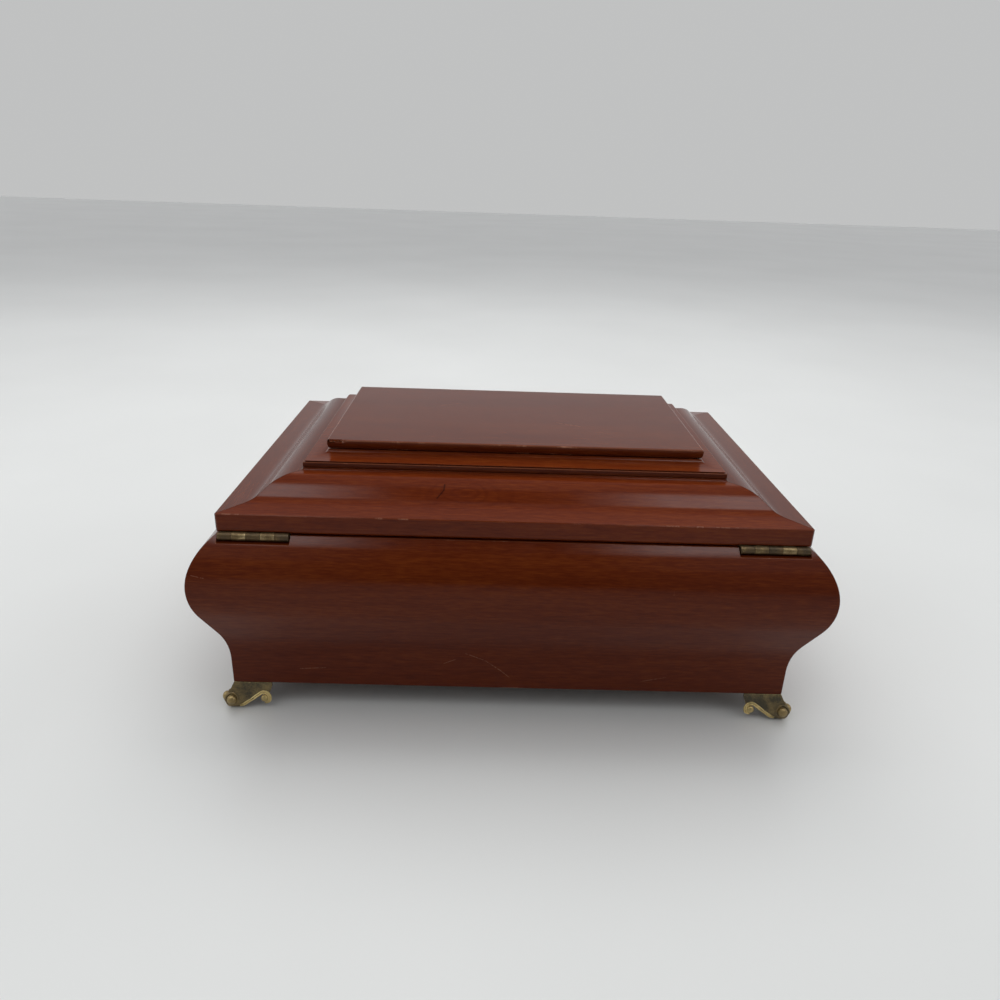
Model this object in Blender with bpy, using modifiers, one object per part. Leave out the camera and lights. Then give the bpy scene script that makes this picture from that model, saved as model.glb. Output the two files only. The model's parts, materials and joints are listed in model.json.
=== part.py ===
"""A bombe jewelry box on scroll feet, with a lift-out tray, a lid mirror and a small musical movement.

The front faces -Y, the hinges are at +Y, and the feet stand on z = 0. All lengths are in metres.
"""
import math

import bmesh
import bpy
from mathutils import Matrix, Vector

# Clearances
SEAT = 0.0003            # between two pieces that touch
RUNNING = 0.00015        # between a shaft and its bearing, on the radius

# Lengths that only let a cut run clear, and merging distances
PAST = 0.001
WELD = 0.000001

# Case, measured at the lid's edge board, which is also the plan of the plinth
RIM_LENGTH = 0.270
RIM_WIDTH = 0.1901
FOOT_HEIGHT = 0.0135
CASE_HEIGHT = 0.0799
WALL = 0.008
BULGE = 0.0124           # how far the widest point stands out
BULGE_DROP = CASE_HEIGHT * 0.2929      # from the case's top down to the widest point
LOWER_BULGE_RADIUS = CASE_HEIGHT * 0.4506
WAIST_SHARE = 0.871      # waist's radius, as a share of the largest that meets the bulge
PLINTH = CASE_HEIGHT * 0.169           # straight band at the bottom of the wall
FACET = math.radians(4.0)

# Bottom board and its groove
BOARD = 0.0045
BOARD_LIP = 0.003        # wall left under the groove
GROOVE = 0.003
KEY_HOLE_RADIUS = 0.003

# Lid, with heights above its underside and margins in from its edge
LID_GAP = 0.0006
RIM_EDGE = 0.0092
RIM_ROUND = 0.0015
FLAT_MARGIN = 0.0105
FLAT_RISE = 0.0011
KINK_MARGIN = 0.014
KINK_RISE = 0.0008
SLOPE_MARGIN = 0.0189
SLOPE_RISE = 0.0041
SHOULDER_RADIUS = 0.016
SHOULDER_STEP = 0.0011
BOARD_MARGIN = 0.0328
LID_BOARD = 0.0024
COVE_FOOT_MARGIN = 0.0407
COVE_TOP_MARGIN = 0.0442
COVE_HEIGHT = 0.0031
SLAB_MARGIN = 0.0427
SLAB = 0.0045
SLAB_EDGE = 0.0014       # height of the slab's plain edge over its hollow
ARRIS = 0.0004
MOULDING_WIDTH = 0.042
RECESS_MARGIN = 0.009
RECESS = 0.005

# Mirror and the padded lining that frames it
MIRROR_MARGIN = 0.039    # from the lid's edge to the mirror's
MIRROR = 0.0029
LINING_FACE = 0.0005     # lining's face above the lid's underside
LINING_LIP = 0.001
LINING_COVER = 0.006     # how far the lining laps over the mirror's edge

# Hinges
HINGE_LENGTH = 0.032
HINGE_END = 0.001        # hinge's outer end in from the lid's end
HINGE_BACK = 0.0006      # pin's axis behind the rear plane
HINGE_DROP = 0.0013      # pin's axis under the lid
KNUCKLE_RADIUS = 0.0019
PIN_RADIUS = 0.0008
KNUCKLES = 5
LEAF = 0.001
LEAF_WIDTH = 0.0072
LEAF_RECESS = 0.0008     # lid's shallow recess over the hinge
KNUCKLE_SPACE = 0.0005   # in the case's pocket under the knuckles

# Slotted lid stay: its lid pin and its case stud lie at one distance from the hinge's axis,
# so the arm turns through half the lid's angle
STAY_FLOOR_SPACE = 0.003 # under the arm's lower end
STAY_PIN_ANGLE = math.radians(-5.0)
STAY_STUD_ANGLE = math.radians(-25.0)
LID_OPENING = math.radians(100.0)
STAY_THICKNESS = 0.0012
STAY_HALF_WIDTH = 0.0035
STAY_STUD_RADIUS = 0.0015
STAY_SPACE = 0.001       # between the arm and the case's wall
STAY_HEAD = 0.0032
STAY_HEAD_HEIGHT = 0.0012
STUD_SHOULDER = 0.0024
STUD_DEPTH = 0.006       # stud's length in the case's wall
RIVET_RADIUS = 0.0012
RIVET_HEAD = 0.0004
BRACKET = (0.011, 0.012) # bracket's leaf, across and along

# Feet, in the plane of one face: run in from the case's corner, and height above the floor
FOOT_RUN = 0.0184
FOOT_METAL = 0.0018
FLARE = 0.0038
VOLUTE = (-0.0006, 0.0056)
VOLUTE_RADIUS = 0.0035
VOLUTE_BOSS = 0.0027
SCROLL = (0.0147, 0.0053)
SCROLL_RADIUS = 0.0031
SCROLL_BOSS = 0.0022
SWEEP = (0.0015, 0.0085)
SWEEP_RADIUS = 0.0073
RIB_RADIUS = 0.0008
SOLE_END = 0.0005        # run at which the lower edge starts to rise
FOOT_BENDS = 5           # level bands in which the face's flare is bent
FOOT_STEP = math.radians(24)
SCROLL_SWEEP = math.radians(250)
SCROLL_STEPS = 8
SCROLL_TIGHTEN = 0.0009  # how much the scroll's radius shrinks over its turn
MITRE_LAP = 0.0001       # how far the foot's two halves run into each other before they are joined
FLAT_SEAM = math.radians(5)
FLANGE = 0.0015
FLANGE_END = 0.0022      # flange's width where it meets the end of a face
FOOT_LIP = 0.002         # height of the square end under the case
FOOT_NICK = 0.0006
SCROLL_RISE = 0.0016
VOLUTE_RISE = 0.0008
BOSS_RISE = 0.0018
FOOT_SCREW_RADIUS = 0.0009
FOOT_SCREW_HEAD = 0.0019
FOOT_SCREW_LENGTH = 0.009
FOOT_SCREW = (0.009, 0.0037)
CORNERS = {
    "front_left": (-1, -1, 0),
    "front_right": (1, -1, 1),
    "rear_right": (1, 1, 2),
    "rear_left": (-1, 1, 3),
}
SCREWED_WALL = {"front_left": "front", "front_right": "right", "rear_right": "rear", "rear_left": "left"}

# Tray and its rails
TRAY_END = 0.0055        # room between the tray and the case's left and right
TRAY_PLAY = 0.001        # between the tray and the case's front and rear
TRAY_DROP = 0.0031       # tray's rim under the case's
TRAY_BOARD = 0.005
TRAY_BASE = 0.003
RAIL = 0.005
RAIL_HEIGHT = 0.006
RING_BAY = 0.0755
DIVIDER = 0.003
DIVIDER_DROP = 0.0067    # dividers' top under the tray's rim
BACK_BAY = 0.062
FRONT_BAY = 0.080
RING_ROLLS = 6
CUSHION_DROP = 0.002     # cushion's top under the dividers'
PAD = 0.003

# Movement's compartment
BAY_LENGTH = 0.062
PARTITION = 0.005
PARTITION_HEIGHT = 0.0245
COVER = 0.003
THUMB_HOLE = 0.009

# Musical movement, about the winding key's axis
KEY_MARGIN = 0.040       # key's axis in from the rim's left
KEY_PLACE = (KEY_MARGIN - RIM_LENGTH / 2, -0.020)
PLATE = 0.0025
PLATE_BACK = 0.0145
PLATE_LENGTH = 0.0535
CYLINDER_LEVEL = 0.0083  # cylinder's axis above the plate
CROWN_TEETH = 30
CROWN_MODULE = 0.0007
PINION_TEETH = 15
PINION_FACE = 0.0018
WHEEL_TEETH = 24
WHEEL_MODULE = 0.0006
WHEEL_FACE = 0.0016
GOVERNOR_TEETH = 8
TOOTH_SHARE = 0.36       # tooth's part of the pitch
PRESSURE = math.tan(math.radians(20.0))
ARBOR_RADIUS = 0.002
BARREL_RADIUS = 0.0134
BARREL_HEIGHT = 0.0165
BARREL_WALL = 0.0012
CAVITY_HEIGHT = 0.004    # room for the great wheel inside the barrel's foot
CAP = 0.001
ARBOR_RISE = 0.008       # arbor's end above the bedplate
BEARING = 0.0014
SHAFT_RADIUS = 0.0011
CYLINDER_RADIUS = 0.006
CYLINDER_LENGTH = 0.019
NOTES = 18
PIN_ROUNDS = 2
PIN_HEIGHT = 0.0005
PIN_FOOT = 0.00022
PIN_TIP = 0.00016
TUNE_STEP = 0.618        # turn from one note's pins to the next's
COMB_REED = 0.0009
COMB_GAP = 0.00035       # between the pins' circle and the reeds' tips
KEY_WIDTH = 0.022
KEY_HEIGHT = 0.0095
KEY_METAL = 0.0012
KEY_BOSS = 0.0032
KEY_GRIP = 0.0048        # how far the key is pushed onto its arbor
ROD_RADIUS = 0.001
ROD_MARGIN = 0.0107      # stop rod's axis in from the rim's left
ROD_PLACE = (ROD_MARGIN - RIM_LENGTH / 2, 0.008)
GUIDE = 0.006
GUIDE_DROP = 0.002       # guide's top under the tray's
PLATE_LEFT = 0.0195
PLATE_RIGHT = 0.0235
ADDENDUM = 0.8           # tooth's height over the pitch circle, in modules
DEDENDUM = 1.2
END_PLAY = 0.0005
HOUSING_SIDE = 0.019
HOUSING_LENGTH = 0.0103
FAN_LINE = -0.013
FAN_REACH = 0.0042
FAN_HEIGHT = 0.0035
FAN_LIFT = 0.0012
FAN_METAL = 0.0005
PIVOT_DEPTH = 0.0018     # how far an arbor's end runs into the housing
HUB = 0.0016
HUB_RADIUS = 0.0013
EAR = 0.0012
LEVER_LINE = -0.0205
LEVER_WIRE = 0.00045
FINGER_DROP = 0.0036
PIVOT_RADIUS = 0.0007
FAN_SPINDLE = 0.0006
GOVERNOR_ARBOR = 0.0008
COMB_BACK = 0.022
PEDESTAL_FRONT = 0.0155
COMB_SCREW_RADIUS = 0.001
COMB_SCREW_DEPTH = 0.0048
COMB_END = 0.0008        # comb's edge past the cylinder's first and last notes
REED_TAPER = 0.003       # how much longer the lowest reed is than the highest
CHEEK = 0.0026           # bearing's metal round a shaft's axis

# Levels and plan that follow from the sizes above
HALF_LENGTH = RIM_LENGTH / 2
HALF_WIDTH = RIM_WIDTH / 2
CASE_TOP = FOOT_HEIGHT + CASE_HEIGHT
LID_BASE = CASE_TOP + LID_GAP
BOARD_LEVEL = FOOT_HEIGHT + BOARD_LIP + SEAT
FLOOR_LEVEL = BOARD_LEVEL + BOARD
INNER_LENGTH = HALF_LENGTH - WALL
INNER_WIDTH = HALF_WIDTH - WALL
HINGE_Y = HALF_WIDTH + HINGE_BACK
HINGE_Z = LID_BASE - HINGE_DROP
RAIL_LEVEL = FLOOR_LEVEL + PARTITION_HEIGHT + COVER + RAIL_HEIGHT + 4 * SEAT
TRAY_TOP = CASE_TOP - TRAY_DROP
PAD_LEVEL = FLOOR_LEVEL + SEAT + PAD
STAY_LIE = (STAY_PIN_ANGLE + STAY_STUD_ANGLE) / 2 - math.pi / 2
STAY_ARM_SHARE = 2 * math.sin((STAY_PIN_ANGLE - STAY_STUD_ANGLE + LID_OPENING) / 2)
STAY_DROP_SHARE = STAY_ARM_SHARE * math.sin(-STAY_LIE) - math.sin(STAY_PIN_ANGLE)
STAY_REACH = (HINGE_Z - PAD_LEVEL - STAY_FLOOR_SPACE - STAY_HALF_WIDTH) / STAY_DROP_SHARE
PLATE_LEVEL = FLOOR_LEVEL + SEAT
WORKS_LEVEL = PLATE_LEVEL + PLATE
AXIS_LEVEL = WORKS_LEVEL + CYLINDER_LEVEL
CROWN_RADIUS = CROWN_TEETH * CROWN_MODULE / 2
PINION_RADIUS = PINION_TEETH * CROWN_MODULE / 2
WHEEL_RADIUS = WHEEL_TEETH * WHEEL_MODULE / 2
GOVERNOR_RADIUS = GOVERNOR_TEETH * WHEEL_MODULE / 2
PITCH_LEVEL = AXIS_LEVEL - PINION_RADIUS
BEARING_START = CROWN_RADIUS + PINION_FACE / 2 + END_PLAY
CYLINDER_START = BEARING_START + BEARING + END_PLAY
WHEEL_START = CYLINDER_START + CYLINDER_LENGTH
POST_START = WHEEL_START + WHEEL_FACE + END_PLAY
GOVERNOR_LINE = -(WHEEL_RADIUS + GOVERNOR_RADIUS)
HOUSING_TOP = AXIS_LEVEL + 0.0045
LEVER_LEVEL = HOUSING_TOP + 0.005
FINGER_LINE = FAN_LINE - FAN_REACH - LEVER_WIRE - SEAT

# Finishes: colour, roughness, metallic
MAHOGANY = ((0.19, 0.035, 0.018), 0.22, 0.0)
MAHOGANY_TOP = ((0.21, 0.045, 0.025), 0.22, 0.0)
PLAIN_WOOD = ((0.36, 0.20, 0.10), 0.55, 0.0)
OLD_BRASS = ((0.30, 0.22, 0.10), 0.38, 1.0)
BRIGHT_BRASS = ((0.60, 0.44, 0.18), 0.28, 1.0)
STEEL = ((0.55, 0.55, 0.56), 0.25, 1.0)
ZINC = ((0.42, 0.42, 0.44), 0.45, 1.0)
VELVET = ((0.16, 0.01, 0.02), 0.95, 0.0)
SILVERED = ((0.85, 0.87, 0.88), 0.03, 1.0)
MOULDED = ((0.80, 0.77, 0.68), 0.45, 0.0)

PARTS = None
CUTTERS = None


def clear_scene():
    for old in list(bpy.data.objects):
        bpy.data.objects.remove(old, do_unlink=True)


def new_collection(name):
    group = bpy.data.collections.new(name)
    bpy.context.scene.collection.children.link(group)
    return group


# Ways to make and join solids

def add_object(name, data, place=(0, 0, 0), turn=(0, 0, 0)):
    made = bpy.data.objects.new(name, data)
    made.location = place
    made.rotation_euler = turn
    PARTS.objects.link(made)
    return made


def add_mesh(name, shape, place=(0, 0, 0), turn=(0, 0, 0)):
    mesh = bpy.data.meshes.new(name)
    bmesh.ops.recalc_face_normals(shape, faces=shape.faces)
    shape.to_mesh(mesh)
    shape.free()
    return add_object(name, mesh, place, turn)


def tool(piece):
    """Moves a solid to the cutters, where it only shapes other solids."""
    PARTS.objects.unlink(piece)
    CUTTERS.objects.link(piece)
    piece.hide_render = True
    piece.display_type = "WIRE"
    return piece


def combine(piece, other, operation):
    step = piece.modifiers.new(other.name, "BOOLEAN")
    step.operation = operation
    step.solver = "EXACT"
    step.object = other


def cut(piece, *others):
    for other in others:
        combine(piece, tool(other), "DIFFERENCE")
    return piece


def join(piece, *others):
    for other in others:
        combine(piece, tool(other), "UNION")
    return piece


def carry(piece, empty):
    """Hangs a piece on an empty and keeps the place it has."""
    piece.parent = empty
    piece.matrix_parent_inverse = Matrix.Translation(-Vector(empty.location))


def joint_axis(name, place):
    empty = add_object(name, None, place)
    empty.empty_display_size = 0.01
    return empty


def finish(piece, look, smooth=None):
    colour, roughness, metallic = look
    material = bpy.data.materials.new(piece.name + "_finish")
    material.use_nodes = True
    shader = material.node_tree.nodes["Principled BSDF"]
    shader.inputs["Base Color"].default_value = (*colour, 1.0)
    shader.inputs["Roughness"].default_value = roughness
    shader.inputs["Metallic"].default_value = metallic
    piece.data.materials.clear()
    piece.data.materials.append(material)
    if smooth is not None:
        piece.data.shade_smooth()
        piece.data.set_sharp_from_angle(angle=math.radians(smooth))
    return piece


def block(name, low, high):
    size = Vector(high) - Vector(low)
    shape = bmesh.new()
    bmesh.ops.create_cube(shape, size=1.0)
    bmesh.ops.scale(shape, vec=size, verts=shape.verts)
    return add_mesh(name, shape, (Vector(high) + Vector(low)) / 2)


def bar(name, radius, start, end, sides=24, end_radius=None):
    """A round bar or cone between two points."""
    run = Vector(end) - Vector(start)
    shape = bmesh.new()
    bmesh.ops.create_cone(
        shape, cap_ends=True, segments=sides, radius1=radius,
        radius2=radius if end_radius is None else end_radius, depth=run.length)
    bmesh.ops.rotate(shape, verts=shape.verts, matrix=run.to_track_quat("Z", "Y").to_matrix())
    return add_mesh(name, shape, (Vector(start) + Vector(end)) / 2)


def dome(name, radius, height, centre, axis):
    """A low domed boss: a ball pressed flat along one axis."""
    shape = bmesh.new()
    bmesh.ops.create_uvsphere(shape, u_segments=8, v_segments=4, radius=radius)
    bmesh.ops.scale(shape, vec=(1, 1, height / radius), verts=shape.verts)
    turn = Vector(axis).to_track_quat("Z", "Y").to_matrix()
    bmesh.ops.rotate(shape, verts=shape.verts, matrix=turn)
    return add_mesh(name, shape, centre)


def flat_mesh(outlines, thickness):
    """The mesh of a flat plate with the given outlines, centred on its own XY plane."""
    curve = bpy.data.curves.new("outline", "CURVE")
    curve.dimensions = "2D"
    curve.fill_mode = "BOTH"
    curve.extrude = thickness / 2
    for outline in outlines:
        spline = curve.splines.new("POLY")
        spline.points.add(len(outline) - 1)
        spline.use_cyclic_u = True
        for point, (x, y) in zip(spline.points, outline):
            point.co = (x, y, 0.0, 1.0)
    guide = bpy.data.objects.new("outline", curve)
    PARTS.objects.link(guide)
    bpy.context.view_layer.update()
    mesh = bpy.data.meshes.new_from_object(guide.evaluated_get(bpy.context.evaluated_depsgraph_get()))
    bpy.data.objects.remove(guide, do_unlink=True)
    shape = bmesh.new()
    shape.from_mesh(mesh)
    bpy.data.meshes.remove(mesh)
    bmesh.ops.remove_doubles(shape, verts=shape.verts, dist=WELD)
    return shape


def plate(name, outlines, thickness, place=(0, 0, 0), turn=(0, 0, 0)):
    return add_mesh(name, flat_mesh(outlines, thickness), place, turn)


def lathe(name, profile, place=(0, 0, 0), sides=32):
    """A turned solid from (radius, height) points that run down its outer side, top to bottom."""
    shape = bmesh.new()
    points = [shape.verts.new((radius, 0.0, height)) for radius, height in profile]
    for upper, lower in zip(points, points[1:]):
        shape.edges.new((upper, lower))
    mesh = bpy.data.meshes.new(name)
    shape.to_mesh(mesh)
    shape.free()
    made = add_object(name, mesh, place)
    screw = made.modifiers.new("turn", "SCREW")
    screw.steps = sides
    screw.render_steps = sides
    screw.use_merge_vertices = True
    screw.merge_threshold = 10 * WELD
    return made


def tube(name, points, radius, rounds=2):
    """A wire or rib along a smooth run of points."""
    curve = bpy.data.curves.new(name, "CURVE")
    curve.dimensions = "3D"
    curve.bevel_depth = radius
    curve.bevel_resolution = rounds
    curve.use_fill_caps = True
    spline = curve.splines.new("POLY")
    spline.points.add(len(points) - 1)
    for point, place in zip(spline.points, points):
        point.co = (*place, 1.0)
    guide = bpy.data.objects.new(name, curve)
    PARTS.objects.link(guide)
    bpy.context.view_layer.update()
    mesh = bpy.data.meshes.new_from_object(guide.evaluated_get(bpy.context.evaluated_depsgraph_get()))
    bpy.data.objects.remove(guide, do_unlink=True)
    shape = bmesh.new()
    shape.from_mesh(mesh)
    bpy.data.meshes.remove(mesh)
    bmesh.ops.remove_doubles(shape, verts=shape.verts, dist=WELD)
    return add_mesh(name, shape)


def arc(centre, radius, start, end, step=FACET):
    """Points along an arc, both ends included."""
    count = max(2, math.ceil(abs(end - start) / step) + 1)
    angles = [start + (end - start) * i / (count - 1) for i in range(count)]
    return [(centre[0] + radius * math.cos(a), centre[1] + radius * math.sin(a)) for a in angles]


def circle(radius, sides=24, centre=(0.0, 0.0)):
    return arc(centre, radius, 0.0, 2 * math.pi * (sides - 1) / sides, 2 * math.pi / sides)


def crossing_tangent(first, first_radius, second, second_radius, side):
    """The angle of the normal to the line that touches two circles on opposite sides."""
    run = Vector(second) - Vector(first)
    swing = math.acos((first_radius + second_radius) / run.length)
    return math.atan2(run.y, run.x) + side * swing


def mitred(name, section, half_run, place, quarter_turns):
    """A board of one section along X, with its ends cut to 45 degrees, outside towards -Y."""
    shape = flat_mesh([section], 2.0)
    for point in shape.verts:
        offset, height, end = point.co
        reach = half_run + offset - SEAT / 2
        point.co = (math.copysign(reach, end), -offset, height)
    return add_mesh(name, shape, place, (0, 0, quarter_turns * math.pi / 2))


def four_sides(prefix, section, base):
    """Front, right, rear and left boards of one section round the rim's plan."""
    runs = (
        ("front", HALF_LENGTH, (0, -HALF_WIDTH, base), 0),
        ("right", HALF_WIDTH, (HALF_LENGTH, 0, base), 1),
        ("rear", HALF_LENGTH, (0, HALF_WIDTH, base), 2),
        ("left", HALF_WIDTH, (-HALF_LENGTH, 0, base), 3),
    )
    return {side: mitred(f"{prefix}_{side}", section, run, place, turns)
            for side, run, place, turns in runs}


def ringed_block(name, half_length, half_width, profile, base):
    """A rectangular block whose four edges all have one profile of (margin, height) points."""
    shape = bmesh.new()
    rings = []
    for margin, height in profile:
        across, along = half_length - margin, half_width - margin
        corners = ((across, along), (-across, along), (-across, -along), (across, -along))
        points = [shape.verts.new((x, y, height)) for x, y in corners]
        rings.append([shape.edges.new((points[i], points[(i + 1) % 4])) for i in range(4)])
    for lower, upper in zip(rings, rings[1:]):
        bmesh.ops.bridge_loops(shape, edges=lower + upper)
    for ring in (rings[0], rings[-1]):
        bmesh.ops.contextual_create(shape, geom=ring)
    return add_mesh(name, shape, (0, 0, base))


# Case

def wall_section():
    """The wall's outline as (offset out from the rim's plan, height above the wall's foot)."""
    upper_radius = (BULGE ** 2 + BULGE_DROP ** 2) / (2 * BULGE)
    widest = CASE_HEIGHT - BULGE_DROP
    upper = (BULGE - upper_radius, widest)
    lower = (BULGE - LOWER_BULGE_RADIUS, widest)
    rise = widest - PLINTH
    largest = (rise ** 2 + (LOWER_BULGE_RADIUS - BULGE) ** 2 - LOWER_BULGE_RADIUS ** 2) / (2 * BULGE)
    waist_radius = WAIST_SHARE * largest
    waist = (waist_radius, PLINTH)
    normal = crossing_tangent(lower, LOWER_BULGE_RADIUS, waist, waist_radius, 1)
    outline = [(-WALL, 0.0), (0.0, 0.0)]
    outline += arc(waist, waist_radius, math.pi, math.pi + normal)
    outline += arc(lower, LOWER_BULGE_RADIUS, normal, 0.0)
    outline += arc(upper, upper_radius, 0.0, math.asin(BULGE_DROP / upper_radius))[1:]
    outline.append((-WALL, CASE_HEIGHT))
    groove_top = BOARD_LIP + BOARD + 2 * SEAT
    outline += [(-WALL, groove_top), (-WALL + GROOVE, groove_top)]
    outline += [(-WALL + GROOVE, BOARD_LIP), (-WALL, BOARD_LIP)]
    return outline


def hinge_places():
    """The middle of each hinge along X, left and right seen from the front."""
    middle = HALF_LENGTH - HINGE_END - HINGE_LENGTH / 2
    return {"left": -middle, "right": middle}


def pocket(name, middle, front, low, high):
    """Room for a hinge, open to the rear, from a front edge and between two levels."""
    half = HINGE_LENGTH / 2 + SEAT
    back = HALF_WIDTH + BULGE + WALL
    return block(name, (middle - half, front, low), (middle + half, back, high))


def make_case():
    walls = four_sides("case", wall_section(), FOOT_HEIGHT)
    for side, middle in hinge_places().items():
        seat = (middle, HINGE_Y - LEAF_WIDTH - SEAT, CASE_TOP - LEAF - 2 * SEAT)
        knuckles = (middle, HINGE_Y - KNUCKLE_RADIUS - SEAT, HINGE_Z - KNUCKLE_RADIUS - KNUCKLE_SPACE)
        for wall in ("rear", side):
            cut(walls[wall], pocket(f"{side}_leaf_seat", *seat, LID_BASE),
                pocket(f"{side}_knuckle_pocket", *knuckles, LID_BASE))
    for wall in walls.values():
        finish(wall, MAHOGANY, 30)
    reach = WALL - GROOVE + SEAT
    low = (-HALF_LENGTH + reach, -HALF_WIDTH + reach, BOARD_LEVEL)
    high = (HALF_LENGTH - reach, HALF_WIDTH - reach, FLOOR_LEVEL)
    board = block("bottom_board", low, high)
    cut(board, bar("key_hole", KEY_HOLE_RADIUS, (*KEY_PLACE, 0.0), (*KEY_PLACE, CASE_TOP)))
    finish(board, PLAIN_WOOD)
    return walls


# Lid

def lid_section():
    """The moulding's outline as (offset, height above the lid's underside)."""
    flat = (-FLAT_MARGIN, RIM_EDGE + FLAT_RISE)
    kink = (-KINK_MARGIN, flat[1] + KINK_RISE)
    slope = (-SLOPE_MARGIN, kink[1] + SLOPE_RISE)
    tilt = math.atan2(SLOPE_RISE, SLOPE_MARGIN - KINK_MARGIN)
    centre = (slope[0] - SHOULDER_RADIUS * math.sin(tilt), slope[1] - SHOULDER_RADIUS * math.cos(tilt))
    shoulder = arc(centre, SHOULDER_RADIUS, math.pi / 2 - tilt, math.pi / 2)
    crown = shoulder[-1][1]
    step = (-BOARD_MARGIN + SHOULDER_STEP, crown)
    outline = [(-RECESS_MARGIN, 0.0)]
    outline += arc((-RIM_ROUND, RIM_ROUND), RIM_ROUND, -math.pi / 2, 0.0, math.radians(18))
    outline += [(0.0, RIM_EDGE - ARRIS), (-ARRIS, RIM_EDGE), flat, kink]
    outline += shoulder
    outline += arc((step[0], crown + SHOULDER_STEP), SHOULDER_STEP, -math.pi / 2, -math.pi, math.radians(18))
    outline += [(-MOULDING_WIDTH, crown + SHOULDER_STEP), (-MOULDING_WIDTH, RECESS), (-RECESS_MARGIN, RECESS)]
    return outline, crown + SHOULDER_STEP


def quarter_cove(foot_margin, top_margin, foot, height, steps=5):
    """A hollow quarter round from a wide foot up to a narrow top."""
    points = []
    for i in range(steps + 1):
        angle = math.pi / 2 * i / steps
        margin = top_margin - (top_margin - foot_margin) * (1 - math.sin(angle))
        points.append((margin, foot + height * (1 - math.cos(angle))))
    return points


def make_lid():
    section, crown = lid_section()
    mouldings = four_sides("lid_moulding", section, LID_BASE)
    for side, middle in hinge_places().items():
        recess = (middle, HINGE_Y - LEAF_WIDTH - SEAT, LID_BASE - LEAF, LID_BASE + LEAF_RECESS)
        for edge in ("rear", side):
            cut(mouldings[edge], pocket(f"{side}_lid_recess", *recess))
    board_level = LID_BASE + crown + SEAT
    edge = [(0.0, 0.0), (0.0, LID_BOARD - ARRIS / 2), (ARRIS / 2, LID_BOARD)]
    half_length, half_width = HALF_LENGTH - BOARD_MARGIN, HALF_WIDTH - BOARD_MARGIN
    board = ringed_block("lid_board", half_length, half_width, edge, board_level)
    cove_level = board_level + LID_BOARD + SEAT
    edge = quarter_cove(COVE_FOOT_MARGIN, COVE_TOP_MARGIN, 0.0, COVE_HEIGHT)
    cove = ringed_block("lid_cove", HALF_LENGTH, HALF_WIDTH, edge, cove_level)
    slab_level = cove_level + COVE_HEIGHT + SEAT
    under = SLAB - SLAB_EDGE
    edge = quarter_cove(SLAB_MARGIN + SLAB_EDGE, SLAB_MARGIN, 0.0, under, 4)
    edge += [(SLAB_MARGIN, SLAB - ARRIS), (SLAB_MARGIN + ARRIS, SLAB)]
    slab = ringed_block("lid_slab", HALF_LENGTH, HALF_WIDTH, edge, slab_level)
    for piece in (*mouldings.values(), board, cove, slab):
        finish(piece, MAHOGANY_TOP, 30)
    make_mirror()
    hinge = joint_axis("lid_hinge_axis", (0, HINGE_Y, HINGE_Z))
    return hinge, [*mouldings.values(), board, cove, slab]


def make_mirror():
    lining_low = LID_BASE + LINING_FACE
    lining_top = LID_BASE + RECESS - SEAT
    half_length = HALF_LENGTH - RECESS_MARGIN - SEAT
    half_width = HALF_WIDTH - RECESS_MARGIN - SEAT
    low = (-half_length, -half_width, lining_low)
    lining = block("lid_lining", low, (half_length, half_width, lining_top))
    across, along = HALF_LENGTH - MIRROR_MARGIN, HALF_WIDTH - MIRROR_MARGIN
    lip_top = lining_low + LINING_LIP
    window = (across - LINING_COVER, along - LINING_COVER)
    cut(lining,
        block("mirror_window", (-window[0], -window[1], LID_BASE - LEAF), (*window, CASE_TOP + RECESS)),
        block("mirror_rebate", (-across - SEAT, -along - SEAT, lip_top),
              (across + SEAT, along + SEAT, lining_top + LEAF)))
    finish(lining, VELVET)
    mirror_low = (-across, -along, lip_top + SEAT)
    mirror = block("mirror", mirror_low, (across, along, mirror_low[2] + MIRROR))
    finish(mirror, SILVERED)


# Hinges

def make_leaf(name, middle, low, high, knuckles):
    """A hinge leaf with its own share of the knuckles."""
    half = HINGE_LENGTH / 2
    root = HINGE_Y - KNUCKLE_RADIUS - SEAT
    leaf = block(name, (middle - half, HINGE_Y - LEAF_WIDTH, low), (middle + half, root, high))
    pitch = HINGE_LENGTH / KNUCKLES
    for index in knuckles:
        start = middle - half + pitch * index + RUNNING / 2
        end = start + pitch - RUNNING
        tab_end = HINGE_Y - KNUCKLE_RADIUS * 0.3
        tab = block(f"{name}_tab_{index}", (start + RUNNING, root - LEAF / 2, low),
                    (end - RUNNING, tab_end, high))
        ends = ((start, HINGE_Y, HINGE_Z), (end, HINGE_Y, HINGE_Z))
        join(leaf, tab, bar(f"{name}_knuckle_{index}", KNUCKLE_RADIUS, *ends, 16))
    ends = ((middle - half - PAST, HINGE_Y, HINGE_Z), (middle + half + PAST, HINGE_Y, HINGE_Z))
    cut(leaf, bar(f"{name}_bore", PIN_RADIUS + RUNNING, *ends, 16))
    return finish(leaf, OLD_BRASS, 30)


def make_hinges():
    lid_leaves = []
    for side, middle in hinge_places().items():
        top = CASE_TOP - SEAT
        make_leaf(f"hinge_case_leaf_{side}", middle, top - LEAF, top, range(0, KNUCKLES, 2))
        top = LID_BASE + LEAF_RECESS - SEAT
        leaf = make_leaf(f"hinge_lid_leaf_{side}", middle, top - LEAF, top, range(1, KNUCKLES, 2))
        lid_leaves.append(leaf)
        half = HINGE_LENGTH / 2
        ends = ((middle - half, HINGE_Y, HINGE_Z), (middle + half, HINGE_Y, HINGE_Z))
        finish(bar(f"hinge_pin_{side}", PIN_RADIUS, *ends, 16), OLD_BRASS, 30)
    return lid_leaves


# Lid stay

def stay_point(angle):
    """A point at the stay's reach from the hinge's axis, at an angle up from the front."""
    return HINGE_Y - STAY_REACH * math.cos(angle), HINGE_Z + STAY_REACH * math.sin(angle)


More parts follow.
